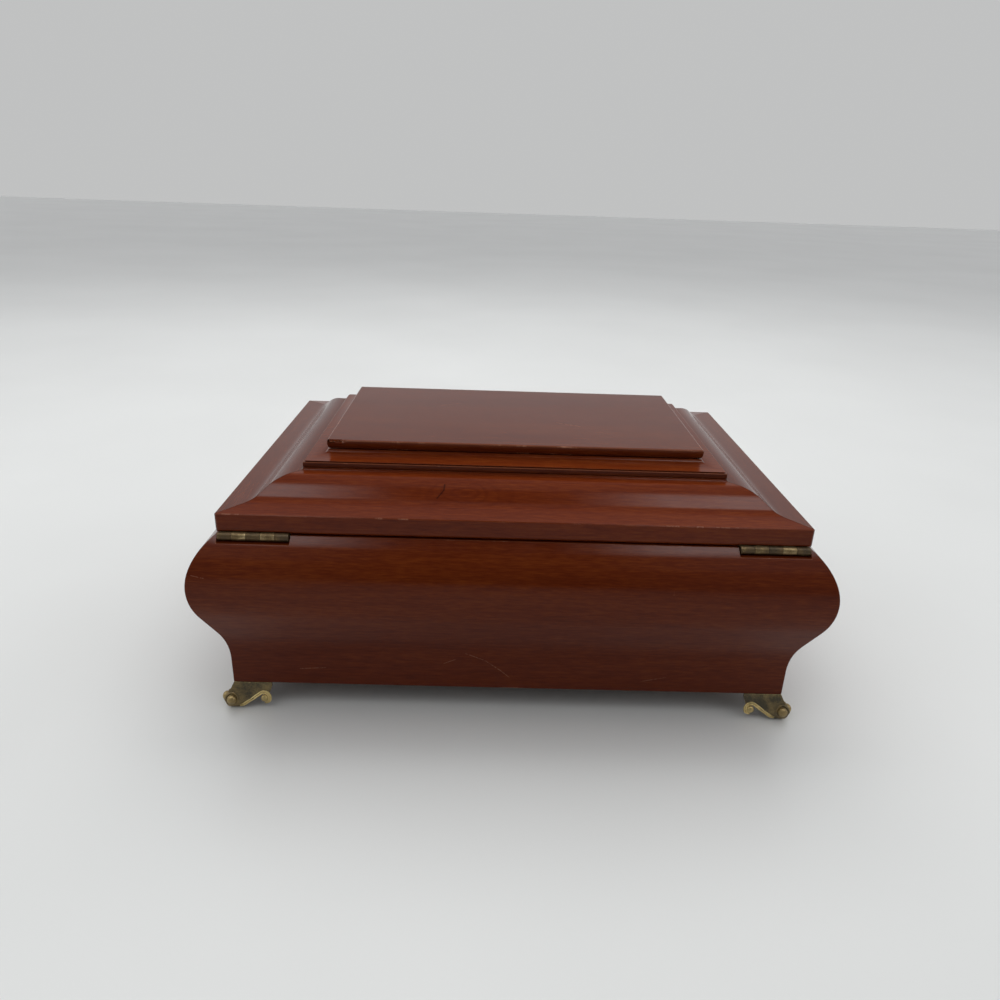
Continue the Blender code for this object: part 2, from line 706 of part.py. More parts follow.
def stay_span(opening):
    """Distance from the stay's lid pin to its case stud when the lid stands open by an angle."""
    return 2 * STAY_REACH * math.sin((STAY_PIN_ANGLE - STAY_STUD_ANGLE + opening) / 2)


def rounded_bar(start, end, half_width, step=math.radians(18)):
    """The outline of a bar with round ends, along X."""
    outline = arc((end, 0.0), half_width, -math.pi / 2, math.pi / 2, step)
    return outline + arc((start, 0.0), half_width, math.pi / 2, 3 * math.pi / 2, step)


def make_stay(walls):
    pin_y, pin_z = stay_point(STAY_PIN_ANGLE)
    stud_y, stud_z = stay_point(STAY_STUD_ANGLE)
    wall = INNER_LENGTH
    arm_out = wall - STAY_SPACE
    arm_in = arm_out - STAY_THICKNESS
    along = Vector((0, -math.cos(STAY_LIE), math.sin(STAY_LIE)))
    out = Vector((1, 0, 0))
    turn = Matrix((along, out.cross(along), out)).transposed().to_euler()
    first, last = stay_span(0.0), stay_span(LID_OPENING)
    outline = rounded_bar(0.0, last + RUNNING, STAY_HALF_WIDTH)
    slot = rounded_bar(first, last, STAY_STUD_RADIUS + RUNNING, math.radians(30))
    eye = circle(RIVET_RADIUS + RUNNING, 16)
    pivot = joint_axis("lid_stay_axis", ((arm_out + arm_in) / 2, pin_y, pin_z))
    arm = plate("lid_stay_arm", [outline, slot, eye], STAY_THICKNESS, pivot.location, turn)
    carry(finish(arm, BRIGHT_BRASS, 30), pivot)

    shank = STAY_STUD_RADIUS
    head_face = arm_in - SEAT - wall
    shoulder = arm_out + SEAT - wall
    rounding = STAY_HEAD_HEIGHT / 3
    profile = [(0.0, STUD_DEPTH), (shank, STUD_DEPTH), (shank, -SEAT), (STUD_SHOULDER, -SEAT),
               (STUD_SHOULDER, shoulder), (shank, shoulder),
               (shank, head_face), (STAY_HEAD, head_face), (STAY_HEAD, head_face - 2 * rounding),
               (STAY_HEAD - rounding, head_face - STAY_HEAD_HEIGHT), (0.0, head_face - STAY_HEAD_HEIGHT)]
    stud = lathe("lid_stay_stud", profile, (wall, stud_y, stud_z), 12)
    stud.rotation_euler = (0, math.pi / 2, 0)
    finish(stud, BRIGHT_BRASS)
    ends = ((wall - PAST, stud_y, stud_z), (wall + STUD_DEPTH + SEAT, stud_y, stud_z))
    cut(walls["right"], bar("stay_stud_hole", shank + RUNNING, *ends, 16))

    leaf_top = LID_BASE + LINING_FACE - SEAT
    lug_out = arm_in - SEAT
    lug_in = lug_out - STAY_THICKNESS
    leaf_low = (lug_out - BRACKET[0], pin_y - BRACKET[1] / 2, leaf_top - LEAF)
    bracket = block("lid_stay_bracket", leaf_low, (lug_out, pin_y + BRACKET[1] / 2, leaf_top))
    rise = leaf_top - LEAF / 2 - pin_z
    drop = arc((0.0, 0.0), STAY_HALF_WIDTH, math.pi, 2 * math.pi, math.radians(18))
    lug_outline = [(STAY_HALF_WIDTH, rise), (-STAY_HALF_WIDTH, rise), *drop]
    lug = plate("bracket_lug", [lug_outline], STAY_THICKNESS, ((lug_out + lug_in) / 2, pin_y, pin_z),
                (math.pi / 2, 0, math.pi / 2))
    join(bracket, lug)
    rivet = RIVET_RADIUS
    ends = ((lug_in - LEAF, pin_y, pin_z), (lug_out + LEAF, pin_y, pin_z))
    cut(bracket, bar("bracket_eye", rivet + RUNNING, *ends, 16))
    finish(bracket, BRIGHT_BRASS, 30)
    outer = arm_out + SEAT
    inner = lug_in - SEAT
    head = 2 * rivet
    profile = [(0.0, outer + RIVET_HEAD), (head, outer + RIVET_HEAD), (head, outer), (rivet, outer),
               (rivet, inner), (head, inner), (head - RIVET_HEAD, inner - RIVET_HEAD), (0.0, inner - RIVET_HEAD)]
    profile = [(radius, place - wall) for radius, place in profile]
    pin = lathe("lid_stay_rivet", profile, (wall, pin_y, pin_z), 16)
    pin.rotation_euler = (0, math.pi / 2, 0)
    finish(pin, BRIGHT_BRASS)
    return bracket, pin, pivot


# Feet

def foot_flare(run, height):
    """How far the foot's face stands out from the case's wall at a point of the face."""
    centre = VOLUTE[1]
    if height >= centre:
        out = FLARE * ((FOOT_HEIGHT - height) / (FOOT_HEIGHT - centre)) ** 1.3 if height < FOOT_HEIGHT else 0.0
    else:
        share = min(1.0, (centre - height) / centre)
        out = FLARE * (1 - 0.6 * (1 - math.sqrt(max(0.0, 1 - share * share))))
    return out * (1 - 0.5 * min(1.0, max(0.0, run / SCROLL[0])))


def foot_lines():
    """The face's lower edge from its corner to its scroll, and the scroll's turn after it."""
    normal = crossing_tangent(SWEEP, SWEEP_RADIUS, SCROLL, SCROLL_RADIUS, -1)
    sweep = arc(SWEEP, SWEEP_RADIUS, -math.pi / 2 - 0.5, normal, FOOT_STEP)
    turn = []
    for i in range(SCROLL_STEPS + 1):
        angle = normal + math.pi - SCROLL_SWEEP * i / SCROLL_STEPS
        radius = SCROLL_RADIUS - SCROLL_TIGHTEN * i / SCROLL_STEPS
        turn.append((SCROLL[0] + radius * math.cos(angle), SCROLL[1] + radius * math.sin(angle)))
    return sweep, turn


def on_face(run, height, proud=0.0):
    return run, -foot_flare(run, height) - proud, height


def foot_face():
    """One face of the foot, as a bent plate that runs past the corner's mitre."""
    sweep, turn = foot_lines()
    top = FOOT_HEIGHT - SEAT
    past = -FLARE - 2 * PAST
    outline = [(past, top), (past, -PAST), (SOLE_END, -PAST)]
    outline += sweep[2:]
    outline += turn[:4]
    lip = FOOT_HEIGHT - FOOT_LIP
    outline += [(FOOT_RUN - FOOT_NICK, lip - FOOT_LIP), (FOOT_RUN, lip), (FOOT_RUN, top)]
    shape = flat_mesh([outline], FOOT_METAL)
    for level in range(1, FOOT_BENDS):
        bmesh.ops.bisect_plane(shape, geom=shape.verts[:] + shape.edges[:] + shape.faces[:],
                               plane_co=(0, top * level / FOOT_BENDS, 0), plane_no=(0, 1, 0))
    for point in shape.verts:
        run, height, side = point.co
        inner = FOOT_METAL if side < 0 else 0.0
        point.co = (run, -foot_flare(run, height) + inner, height)
    return add_mesh("foot_face", shape)


def foot_rib():
    sweep, turn = foot_lines()
    return tube("foot_rib", [on_face(x, z, RIB_RADIUS * 0.3) for x, z in sweep + turn], RIB_RADIUS, 0)


def evaluated_mesh(piece):
    bpy.context.view_layer.update()
    return bpy.data.meshes.new_from_object(piece.evaluated_get(bpy.context.evaluated_depsgraph_get()))


def lightened(mesh):
    """The same solid without the nearly flat seams that the joining leaves."""
    shape = bmesh.new()
    shape.from_mesh(mesh)
    bmesh.ops.remove_doubles(shape, verts=shape.verts, dist=WELD)
    bmesh.ops.dissolve_limit(shape, angle_limit=FLAT_SEAM, verts=shape.verts, edges=shape.edges)
    bmesh.ops.triangulate(shape, faces=shape.faces)
    shape.to_mesh(mesh)
    shape.free()
    return mesh


def across_diagonal(name, mesh):
    """The same solid seen in a mirror that stands on the corner's diagonal."""
    shape = bmesh.new()
    shape.from_mesh(mesh)
    bmesh.ops.remove_doubles(shape, verts=shape.verts, dist=WELD / 10)
    swap = Matrix(((0, 1, 0, 0), (1, 0, 0, 0), (0, 0, 1, 0), (0, 0, 0, 1)))
    bmesh.ops.transform(shape, matrix=swap, verts=shape.verts)
    return add_mesh(name, shape)


def make_foot_mesh():
    """A corner foot: two mirrored scroll faces that meet on the diagonal, and a flange for its screw."""
    half = foot_face()
    scroll = dome("foot_scroll", SCROLL_BOSS, SCROLL_RISE, on_face(*SCROLL), (0, -1, 0.3))
    volute = dome("foot_volute", VOLUTE_RADIUS, VOLUTE_RISE, on_face(*VOLUTE), (0, -1, 0))
    boss = dome("foot_boss", VOLUTE_BOSS, BOSS_RISE, on_face(*VOLUTE, SEAT), (0, -1, 0.2))
    join(half, foot_rib(), scroll, volute, boss)
    reach = 2 * FOOT_RUN
    sole = block("foot_sole", (-reach, -reach, -reach), (reach, reach, 0.0))
    beyond = block("beyond_diagonal", (-reach, -reach, -reach), (-MITRE_LAP, reach, reach))
    beyond.location = Matrix.Rotation(-math.pi / 4, 3, "Z") @ beyond.location
    beyond.rotation_euler = (0, 0, -math.pi / 4)
    cut(half, sole, beyond)
    other = across_diagonal("foot_other_face", evaluated_mesh(half))
    top = FOOT_HEIGHT - SEAT
    corner = [(SEAT, SEAT), (FOOT_RUN, SEAT), (FOOT_RUN, FLANGE_END), (FLANGE_END, FOOT_RUN), (SEAT, FOOT_RUN)]
    flange = plate("foot_flange", [corner], FLANGE, (0, 0, top - FLANGE / 2 - MITRE_LAP))
    join(half, other, flange)
    hole = ((*FOOT_SCREW, top - FLANGE - PAST), (*FOOT_SCREW, top + PAST))
    cut(half, bar("foot_hole", FOOT_SCREW_RADIUS + RUNNING, *hole, 16))
    mesh = lightened(evaluated_mesh(half))
    bpy.data.objects.remove(half, do_unlink=True)
    return mesh


def make_feet(walls):
    mesh = make_foot_mesh()
    mesh.name = "foot"
    for corner, (across, along, turns) in CORNERS.items():
        place = Vector((across * HALF_LENGTH, along * HALF_WIDTH, 0))
        turn = (0, 0, turns * math.pi / 2)
        foot = add_object(f"foot_{corner}", mesh.copy(), place, turn)
        finish(foot, OLD_BRASS, 40)
        spot = place + Matrix.Rotation(turns * math.pi / 2, 3, "Z") @ Vector((*FOOT_SCREW, 0))
        under = FOOT_HEIGHT - 2 * SEAT - FLANGE
        shank, head = FOOT_SCREW_RADIUS, FOOT_SCREW_HEAD
        profile = [(0.0, FOOT_SCREW_LENGTH), (shank / 2, FOOT_SCREW_LENGTH), (shank, FOOT_SCREW_LENGTH - head),
                   (shank, 0.0), (head, 0.0), (head * 0.7, -head / 2), (0.0, -head / 2)]
        screw = lathe(f"foot_screw_{corner}", profile, (spot.x, spot.y, under), 12)
        finish(screw, OLD_BRASS)
        top = under + FOOT_SCREW_LENGTH + SEAT
        ends = ((spot.x, spot.y, 0.0), (spot.x, spot.y, top))
        cut(walls[SCREWED_WALL[corner]], bar(f"{corner}_screw_hole", shank + RUNNING, *ends, 16))


# Tray and lower compartment

def humps(length, height, count):
    """The outline of a cushion with a row of round rolls along X, flat underneath."""
    pitch = length / count
    radius = pitch / 2
    outline = [(length / 2, 0.0)]
    for index in range(count):
        middle = length / 2 - pitch * (index + 0.5)
        outline += arc((middle, height - radius), radius * 0.97, 0.12, math.pi - 0.12, math.radians(24))
    outline.append((-length / 2, 0.0))
    return outline


def make_tray():
    half_length = INNER_LENGTH - TRAY_END
    half_width = INNER_WIDTH - TRAY_PLAY
    low = RAIL_LEVEL + SEAT
    top = TRAY_TOP
    inner = half_width - TRAY_BOARD
    for side, sign in (("front", -1), ("rear", 1)):
        faces = sorted((sign * inner, sign * half_width))
        board = block(f"tray_{side}", (-half_length, faces[0], low), (half_length, faces[1], top))
        finish(board, PLAIN_WOOD)
        faces = sorted((sign * INNER_WIDTH - sign * SEAT, sign * (INNER_WIDTH - RAIL)))
        rail = block(f"tray_rail_{side}", (-INNER_LENGTH + SEAT, faces[0], RAIL_LEVEL - RAIL_HEIGHT),
                     (INNER_LENGTH - SEAT, faces[1], RAIL_LEVEL))
        finish(rail, PLAIN_WOOD)
    for side, sign in (("left", -1), ("right", 1)):
        faces = sorted((sign * (half_length - TRAY_BOARD), sign * half_length))
        end = block(f"tray_{side}", (faces[0], -inner + SEAT, low), (faces[1], inner - SEAT, top))
        finish(end, PLAIN_WOOD)
    room = half_length - TRAY_BOARD - SEAT
    depth = inner - SEAT
    finish(block("tray_base", (-room, -depth, low), (room, depth, low + TRAY_BASE)), VELVET)
    bed = low + TRAY_BASE + SEAT
    wall = -room + RING_BAY
    tall = top - DIVIDER_DROP
    divider = block("tray_divider_ring", (wall + SEAT, -depth, bed), (wall + SEAT + DIVIDER, depth, tall))
    finish(divider, VELVET)
    left = wall + 2 * SEAT + DIVIDER
    line = depth - BACK_BAY
    divider = block("tray_divider_back", (left, line - DIVIDER, bed), (room, line, tall))
    finish(divider, VELVET)
    across = left + FRONT_BAY
    divider = block("tray_divider_front", (across, -depth, bed), (across + DIVIDER, line - DIVIDER - SEAT, tall))
    finish(divider, VELVET)
    outline = humps(RING_BAY - SEAT, tall - CUSHION_DROP - bed, RING_ROLLS)
    middle = -room + (RING_BAY - SEAT) / 2
    cushion = plate("ring_cushion", [outline], 2 * depth - 2 * SEAT, (middle, 0, bed), (math.pi / 2, 0, 0))
    finish(cushion, VELVET, 40)


def make_lower_compartment():
    left = -INNER_LENGTH + SEAT
    wall = left + BAY_LENGTH
    depth = INNER_WIDTH - SEAT
    floor = FLOOR_LEVEL + SEAT
    top = floor + PARTITION_HEIGHT
    partition = block("movement_partition", (wall, -depth, floor), (wall + PARTITION, depth, top))
    finish(partition, PLAIN_WOOD)
    cover_low = top + SEAT
    cover = block("movement_cover", (left, -depth, cover_low), (wall + PARTITION, depth, cover_low + COVER))
    hole = (*ROD_PLACE, 0.0), (*ROD_PLACE, CASE_TOP)
    thumb = (wall - THUMB_HOLE, -depth + 2 * THUMB_HOLE)
    cut(cover, bar("rod_hole", ROD_RADIUS + RUNNING, *hole, 16),
        bar("thumb_hole", THUMB_HOLE, (*thumb, 0.0), (*thumb, CASE_TOP), 24))
    finish(cover, VELVET)
    start = wall + PARTITION + SEAT
    pad = block("floor_pad", (start, -depth, floor), (INNER_LENGTH - SEAT, depth, floor + PAD))
    finish(pad, VELVET)


# Musical movement

def works(across, along, level):
    """A place in the movement: across and along from the key's axis, and a level above the floor."""
    return KEY_PLACE[0] + across, KEY_PLACE[1] + along, level


def works_block(name, across, along, levels):
    return block(name, works(across[0], along[0], levels[0]), works(across[1], along[1], levels[1]))


def shaft(name, radius, across, start, end, level=AXIS_LEVEL, sides=16):
    """A round bar along the cylinder's direction."""
    return bar(name, radius, works(across, start, level), works(across, end, level), sides)


def gear_outline(teeth, module, phase):
    pitch_radius = teeth * module / 2
    half = TOOTH_SHARE * math.pi * module / 2
    tip, root = pitch_radius + ADDENDUM * module, pitch_radius - DEDENDUM * module
    tip_half = (half - ADDENDUM * module * PRESSURE) / tip
    root_half = (half + DEDENDUM * module * PRESSURE / 2) / root
    outline = []
    for index in range(teeth):
        middle = phase + 2 * math.pi * index / teeth
        flank = ((root, -root_half), (tip, -tip_half), (tip, tip_half), (root, root_half))
        outline += [(r * math.cos(middle + a), r * math.sin(middle + a)) for r, a in flank]
    return outline


def gear(name, teeth, module, phase, face, across, start):
    """A spur gear on an axis along the cylinder's direction."""
    place = works(across, start + face / 2, AXIS_LEVEL)
    return plate(name, [gear_outline(teeth, module, phase)], face, place, (math.pi / 2, 0, 0))


def crown_teeth():
    """The great wheel's ring of upright teeth, like a rack bent into a circle."""
    root = PITCH_LEVEL - DEDENDUM * CROWN_MODULE
    tip = PITCH_LEVEL + ADDENDUM * CROWN_MODULE
    sunk = root - SEAT
    half = TOOTH_SHARE * math.pi * CROWN_MODULE / 2
    shape = bmesh.new()
    for index in range(CROWN_TEETH):
        made = bmesh.ops.create_cube(shape, size=2.0)["verts"]
        turn = Matrix.Rotation(2 * math.pi * index / CROWN_TEETH, 3, "Z")
        for point in made:
            level = tip if point.co.z > 0 else sunk
            width = half - (level - PITCH_LEVEL) * PRESSURE
            radius = CROWN_RADIUS + point.co.y * PINION_FACE * 0.45
            point.co = turn @ Vector((point.co.x * width, radius, level))
    return add_mesh("crown_teeth", shape, works(0, 0, 0))


def make_great_wheel(axis):
    rim = CROWN_RADIUS + PINION_FACE * 0.6
    low = WORKS_LEVEL + 2 * SEAT
    high = PITCH_LEVEL - DEDENDUM * CROWN_MODULE
    wheel = bar("great_wheel", rim, works(0, 0, low), works(0, 0, high), 36)
    arbor_low = BOARD_LEVEL - END_PLAY - KEY_GRIP + SEAT
    arbor = bar("arbor", ARBOR_RADIUS, works(0, 0, arbor_low), works(0, 0, WORKS_LEVEL + ARBOR_RISE))
    join(wheel, crown_teeth(), arbor)
    carry(finish(wheel, BRIGHT_BRASS), axis)


def make_winding_key(axis):
    top = BOARD_LEVEL - END_PLAY
    wing_top = top - KEY_GRIP + KEY_METAL / 4
    wing_low = wing_top - KEY_HEIGHT
    middle = (wing_top + wing_low) / 2
    lobe_radius = KEY_HEIGHT / 2
    neck = KEY_WIDTH / 2 - lobe_radius - KEY_METAL
    key = works_block("winding_key", (-neck, neck), (-KEY_METAL / 2, KEY_METAL / 2),
                      (wing_low + KEY_HEIGHT / 5, wing_top - KEY_METAL))
    for side in (-1, 1):
        lobe = [circle(lobe_radius, 16), circle(lobe_radius * 0.45, 10)]
        place = works(side * (KEY_WIDTH / 2 - lobe_radius), 0, middle)
        join(key, plate("key_lobe", lobe, KEY_METAL, place, (math.pi / 2, 0, 0)))
    join(key, bar("key_boss", KEY_BOSS, works(0, 0, top - KEY_GRIP - KEY_METAL), works(0, 0, top), 20))
    bore = bar("key_bore", ARBOR_RADIUS + RUNNING, works(0, 0, top - KEY_GRIP), works(0, 0, BOARD_LEVEL))
    carry(finish(cut(key, bore), BRIGHT_BRASS, 40), axis)


def make_barrel():
    low = WORKS_LEVEL + SEAT
    high = WORKS_LEVEL + BARREL_HEIGHT
    barrel = bar("spring_barrel", BARREL_RADIUS, works(0, 0, low), works(0, 0, high), 32)
    top = WORKS_LEVEL + CAVITY_HEIGHT
    cavity = bar("wheel_cavity", BARREL_RADIUS - BARREL_WALL, works(0, 0, 0), works(0, 0, top), 32)
    opening = PINION_RADIUS + 2 * CROWN_MODULE
    window = works_block("pinion_window", (-opening, opening),
                         (CROWN_RADIUS - PINION_FACE / 2 - END_PLAY, BARREL_RADIUS + PAST),
                         (0, AXIS_LEVEL + PINION_RADIUS + CROWN_MODULE + SEAT))
    seat_top = works(0, 0, WORKS_LEVEL + ARBOR_RISE + SEAT)
    seat = bar("arbor_seat", ARBOR_RADIUS + RUNNING, works(0, 0, 0), seat_top)
    rim = bar("barrel_cap", BARREL_RADIUS - 2 * BARREL_WALL, works(0, 0, high - SEAT), works(0, 0, high + CAP), 32)
    cut(barrel, cavity, window, seat)
    finish(join(barrel, rim), ZINC, 30)


def cylinder_pins():
    """The tune's pins: short cones round the cylinder, one ring for each reed of the comb."""
    shape = bmesh.new()
    pitch = CYLINDER_LENGTH / NOTES
    for note in range(NOTES):
        for beat in range(PIN_ROUNDS):
            angle = 2 * math.pi * (TUNE_STEP * note + beat / PIN_ROUNDS)
            along = CYLINDER_START + pitch * (note + 0.5)
            place = Matrix.Translation((0, along, 0)) @ Matrix.Rotation(angle, 4, "Y")
            height = 2 * PIN_HEIGHT
            place = place @ Matrix.Translation((0, 0, CYLINDER_RADIUS))
            bmesh.ops.create_cone(shape, cap_ends=True, segments=3, radius1=PIN_FOOT, radius2=PIN_TIP,
                                  depth=height, matrix=place)
    return add_mesh("cylinder_pins", shape, works(0, 0, AXIS_LEVEL))


def make_cylinder():
    axis = joint_axis("cylinder_axis", works(0, CYLINDER_START, AXIS_LEVEL))
    drum = shaft("music_cylinder", CYLINDER_RADIUS, 0, CYLINDER_START, WHEEL_START + SEAT, sides=36)
    pinion_start = CROWN_RADIUS - PINION_FACE / 2
    pinion = gear("drive_pinion", PINION_TEETH, CROWN_MODULE, -math.pi / 2 + math.pi / PINION_TEETH,
                  PINION_FACE, 0, pinion_start)
    wheel = gear("cylinder_wheel", WHEEL_TEETH, WHEEL_MODULE, math.pi, WHEEL_FACE, 0, WHEEL_START)
    spindle = shaft("spindle", SHAFT_RADIUS, 0, pinion_start, POST_START + BEARING)
    join(drum, wheel, pinion, spindle, cylinder_pins())
    carry(finish(drum, BRIGHT_BRASS), axis)


def make_governor():
    start = WHEEL_START - END_PLAY - HOUSING_LENGTH
    end = start + HOUSING_LENGTH
    low = WORKS_LEVEL + SEAT
    middle = ROD_PLACE[1] - KEY_PLACE[1]
    inner = -(CYLINDER_RADIUS + PIN_HEIGHT + 3 * SEAT)
    housing = works_block("governor_housing", (-HOUSING_SIDE, inner), (start, end), (low, HOUSING_TOP))
    ear_start = middle + HUB / 2 + SEAT
    ear = works_block("lever_ear", (LEVER_LINE - 2 * PIVOT_RADIUS, SEAT - HOUSING_SIDE),
                      (ear_start, ear_start + EAR), (AXIS_LEVEL, LEVER_LEVEL + 2 * PIVOT_RADIUS))
    join(housing, ear)
    pivot_end = ear_start + EAR + PAST
    pivot_hole = shaft("pivot_hole", PIVOT_RADIUS + RUNNING, LEVER_LINE, middle, pivot_end, LEVER_LEVEL, 12)
    sunk = end - PIVOT_DEPTH - SEAT
    arbor_hole = shaft("governor_hole", GOVERNOR_ARBOR + RUNNING, GOVERNOR_LINE, sunk, end + PAST, sides=12)
    fan_low = HOUSING_TOP - PIVOT_DEPTH
    fan_ends = (works(FAN_LINE, middle, fan_low - SEAT), works(FAN_LINE, middle, HOUSING_TOP + PAST))
    fan_hole = bar("fan_hole", FAN_SPINDLE + RUNNING, *fan_ends, 12)
    finish(cut(housing, pivot_hole, arbor_hole, fan_hole), MOULDED)

    axis = joint_axis("governor_axis", works(GOVERNOR_LINE, WHEEL_START, AXIS_LEVEL))
    pinion = gear("governor_pinion", GOVERNOR_TEETH, WHEEL_MODULE, math.pi / GOVERNOR_TEETH,
                  WHEEL_FACE, GOVERNOR_LINE, WHEEL_START)
    arbor_end = POST_START + BEARING
    arbor = shaft("governor_arbor", GOVERNOR_ARBOR, GOVERNOR_LINE, end - PIVOT_DEPTH, arbor_end, sides=12)
    carry(finish(join(pinion, arbor), BRIGHT_BRASS), axis)

    axis = joint_axis("fan_axis", works(FAN_LINE, middle, HOUSING_TOP))
    wing_low = HOUSING_TOP + FAN_LIFT
    wing_top = wing_low + FAN_HEIGHT
    fan = works_block("governor_fan", (FAN_LINE - FAN_REACH, FAN_LINE + FAN_REACH),
                      (middle - FAN_METAL / 2, middle + FAN_METAL / 2), (wing_low, wing_top))
    ends = (works(FAN_LINE, middle, fan_low), works(FAN_LINE, middle, wing_top + FAN_METAL))
    spindle = bar("fan_spindle", FAN_SPINDLE, *ends, 12)
    carry(finish(join(fan, spindle), MOULDED), axis)

    axis = joint_axis("stop_lever_axis", works(LEVER_LINE, middle, LEVER_LEVEL))
    tail = ROD_PLACE[0] - KEY_PLACE[0] - ROD_RADIUS
    bend = 1.5 * LEVER_WIRE
    path = [works(tail, middle, LEVER_LEVEL), works(LEVER_LINE, middle, LEVER_LEVEL),
            works(FINGER_LINE - bend, middle, LEVER_LEVEL), works(FINGER_LINE, middle, LEVER_LEVEL - bend),
            works(FINGER_LINE, middle, LEVER_LEVEL - FINGER_DROP)]
    lever = tube("stop_lever", path, LEVER_WIRE)
    hub = shaft("lever_hub", HUB_RADIUS, LEVER_LINE, middle - HUB / 2, middle + HUB / 2, LEVER_LEVEL)
    pivot_end = ear_start + EAR + SEAT
    pivot = shaft("lever_pivot", PIVOT_RADIUS, LEVER_LINE, middle, pivot_end, LEVER_LEVEL, 12)
    carry(finish(join(lever, hub, pivot), STEEL), axis)


def make_bedplate():
    base = works_block("movement_bedplate", (-PLATE_LEFT, PLATE_RIGHT), (-PLATE_BACK, PLATE_LENGTH - PLATE_BACK),
                       (PLATE_LEVEL, WORKS_LEVEL))
    sunk = WORKS_LEVEL - SEAT
    bearing_top = AXIS_LEVEL + CHEEK
    near = works_block("near_bearing", (-CHEEK, CHEEK), (BEARING_START, BEARING_START + BEARING),
                       (sunk, bearing_top))
    far = works_block("far_bearing", (GOVERNOR_LINE - CHEEK, CHEEK), (POST_START, POST_START + BEARING),
                      (sunk, bearing_top))
    pedestal = works_block("comb_pedestal", (PEDESTAL_FRONT, COMB_BACK),
                           (CYLINDER_START - COMB_END, WHEEL_START + COMB_END),
                           (sunk, AXIS_LEVEL - COMB_REED / 2 - SEAT))
    join(base, near, far, pedestal)
    span = (BEARING_START - PAST, POST_START + BEARING + PAST)
    cut(base,
        shaft("spindle_bore", SHAFT_RADIUS + RUNNING, 0, *span),
        shaft("governor_bore", GOVERNOR_ARBOR + RUNNING, GOVERNOR_LINE, POST_START - PAST, span[1], sides=12),
        bar("arbor_bore", ARBOR_RADIUS + RUNNING, works(0, 0, 0), works(0, 0, WORKS_LEVEL + SEAT)))
    for index, place in enumerate(comb_screw_places()):
        ends = (works(*place, AXIS_LEVEL - COMB_SCREW_DEPTH - SEAT), works(*place, AXIS_LEVEL))
        cut(base, bar(f"comb_thread_{index}", COMB_SCREW_RADIUS + RUNNING, *ends, 12))
    finish(base, ZINC)


def comb_screw_places():
    across = (PEDESTAL_FRONT + COMB_BACK) / 2
    inset = CYLINDER_LENGTH / 4
    return (across, CYLINDER_START + inset), (across, WHEEL_START - inset)


def make_comb():
    tip = CYLINDER_RADIUS + PIN_HEIGHT + COMB_GAP
    pitch = CYLINDER_LENGTH / NOTES
    far_end = CYLINDER_LENGTH + COMB_END
    outline = [(COMB_BACK, -COMB_END), (COMB_BACK, far_end), (PEDESTAL_FRONT, far_end)]
    for note in reversed(range(NOTES)):
        middle = pitch * (note + 0.5)
        root = PEDESTAL_FRONT - END_PLAY - REED_TAPER * note / NOTES
        outline += [(root, middle + pitch * 0.36), (tip, middle + pitch * 0.24),
                    (tip, middle - pitch * 0.24), (root, middle - pitch * 0.36)]
    outline.append((PEDESTAL_FRONT, -COMB_END))
    comb = plate("comb", [outline], COMB_REED, works(0, CYLINDER_START, AXIS_LEVEL))
    for index, (across, along) in enumerate(comb_screw_places()):
        ends = (works(across, along, AXIS_LEVEL - COMB_REED), works(across, along, AXIS_LEVEL + COMB_REED))
        shank, head = COMB_SCREW_RADIUS, 2 * COMB_SCREW_RADIUS
        cut(comb, bar(f"comb_hole_{index}", shank + RUNNING, *ends, 12))
        under = COMB_REED / 2 + SEAT
        top = under + COMB_REED
        profile = [(0.0, top), (head * 0.8, top), (head, under + COMB_REED * 0.7), (head, under),
                   (shank, under), (shank, -COMB_SCREW_DEPTH), (0.0, -COMB_SCREW_DEPTH)]
        screw = lathe(f"comb_screw_{index + 1}", profile, works(across, along, AXIS_LEVEL), 12)
        finish(screw, STEEL)
    finish(comb, STEEL)


def make_stop_rod():
    low = LEVER_LEVEL + LEVER_WIRE + SEAT
    high = LID_BASE + LINING_FACE - SEAT
    axis = joint_axis("stop_rod_axis", (*ROD_PLACE, low))
    length = high - low
    profile = [(0.0, length), (ROD_RADIUS * 0.6, length), (ROD_RADIUS, length - ROD_RADIUS / 2),
               (ROD_RADIUS, 1.5 * ROD_RADIUS), (ROD_RADIUS * 0.4, 0.0), (0.0, 0.0)]
    rod = lathe("stop_rod", profile, (*ROD_PLACE, low), 16)
    carry(finish(rod, BRIGHT_BRASS), axis)
    x, y = ROD_PLACE
    top = TRAY_TOP - GUIDE_DROP
    guide = block("stop_rod_guide", (-INNER_LENGTH + SEAT, y - GUIDE / 2, top - GUIDE),
                  (x + 2 * ROD_RADIUS, y + GUIDE / 2, top))
    ends = ((x, y, top - GUIDE - PAST), (x, y, top + PAST))
    cut(guide, bar("guide_bore", ROD_RADIUS + RUNNING, *ends, 16))
    finish(guide, BRIGHT_BRASS)


def make_movement():
    make_bedplate()
    axis = joint_axis("winding_key_axis", works(0, 0, BOARD_LEVEL))
    make_great_wheel(axis)
    make_winding_key(axis)
    make_barrel()
    make_cylinder()
    make_comb()
    make_governor()
    make_stop_rod()


def main():
    global PARTS, CUTTERS
    clear_scene()
    PARTS = new_collection("musical_jewelry_box")
    CUTTERS = new_collection("cutters")
    walls = make_case()
    hinge, lid = make_lid()
    lid += make_hinges()
    bracket, rivet, stay_axis = make_stay(walls)
    lid += [bracket, rivet, PARTS.objects["lid_lining"], PARTS.objects["mirror"]]
    for piece in lid:
        carry(piece, hinge)
    stay_axis.parent = hinge
    stay_axis.matrix_parent_inverse = Matrix.Translation(-Vector(hinge.location))
    make_feet(walls)
    make_tray()
    make_lower_compartment()
    make_movement()


main()
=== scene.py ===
"""A musical jewelry box seen from behind: lacquered cherry-red wood, aged brass hinges and cast scroll feet."""
import json
import math
import random

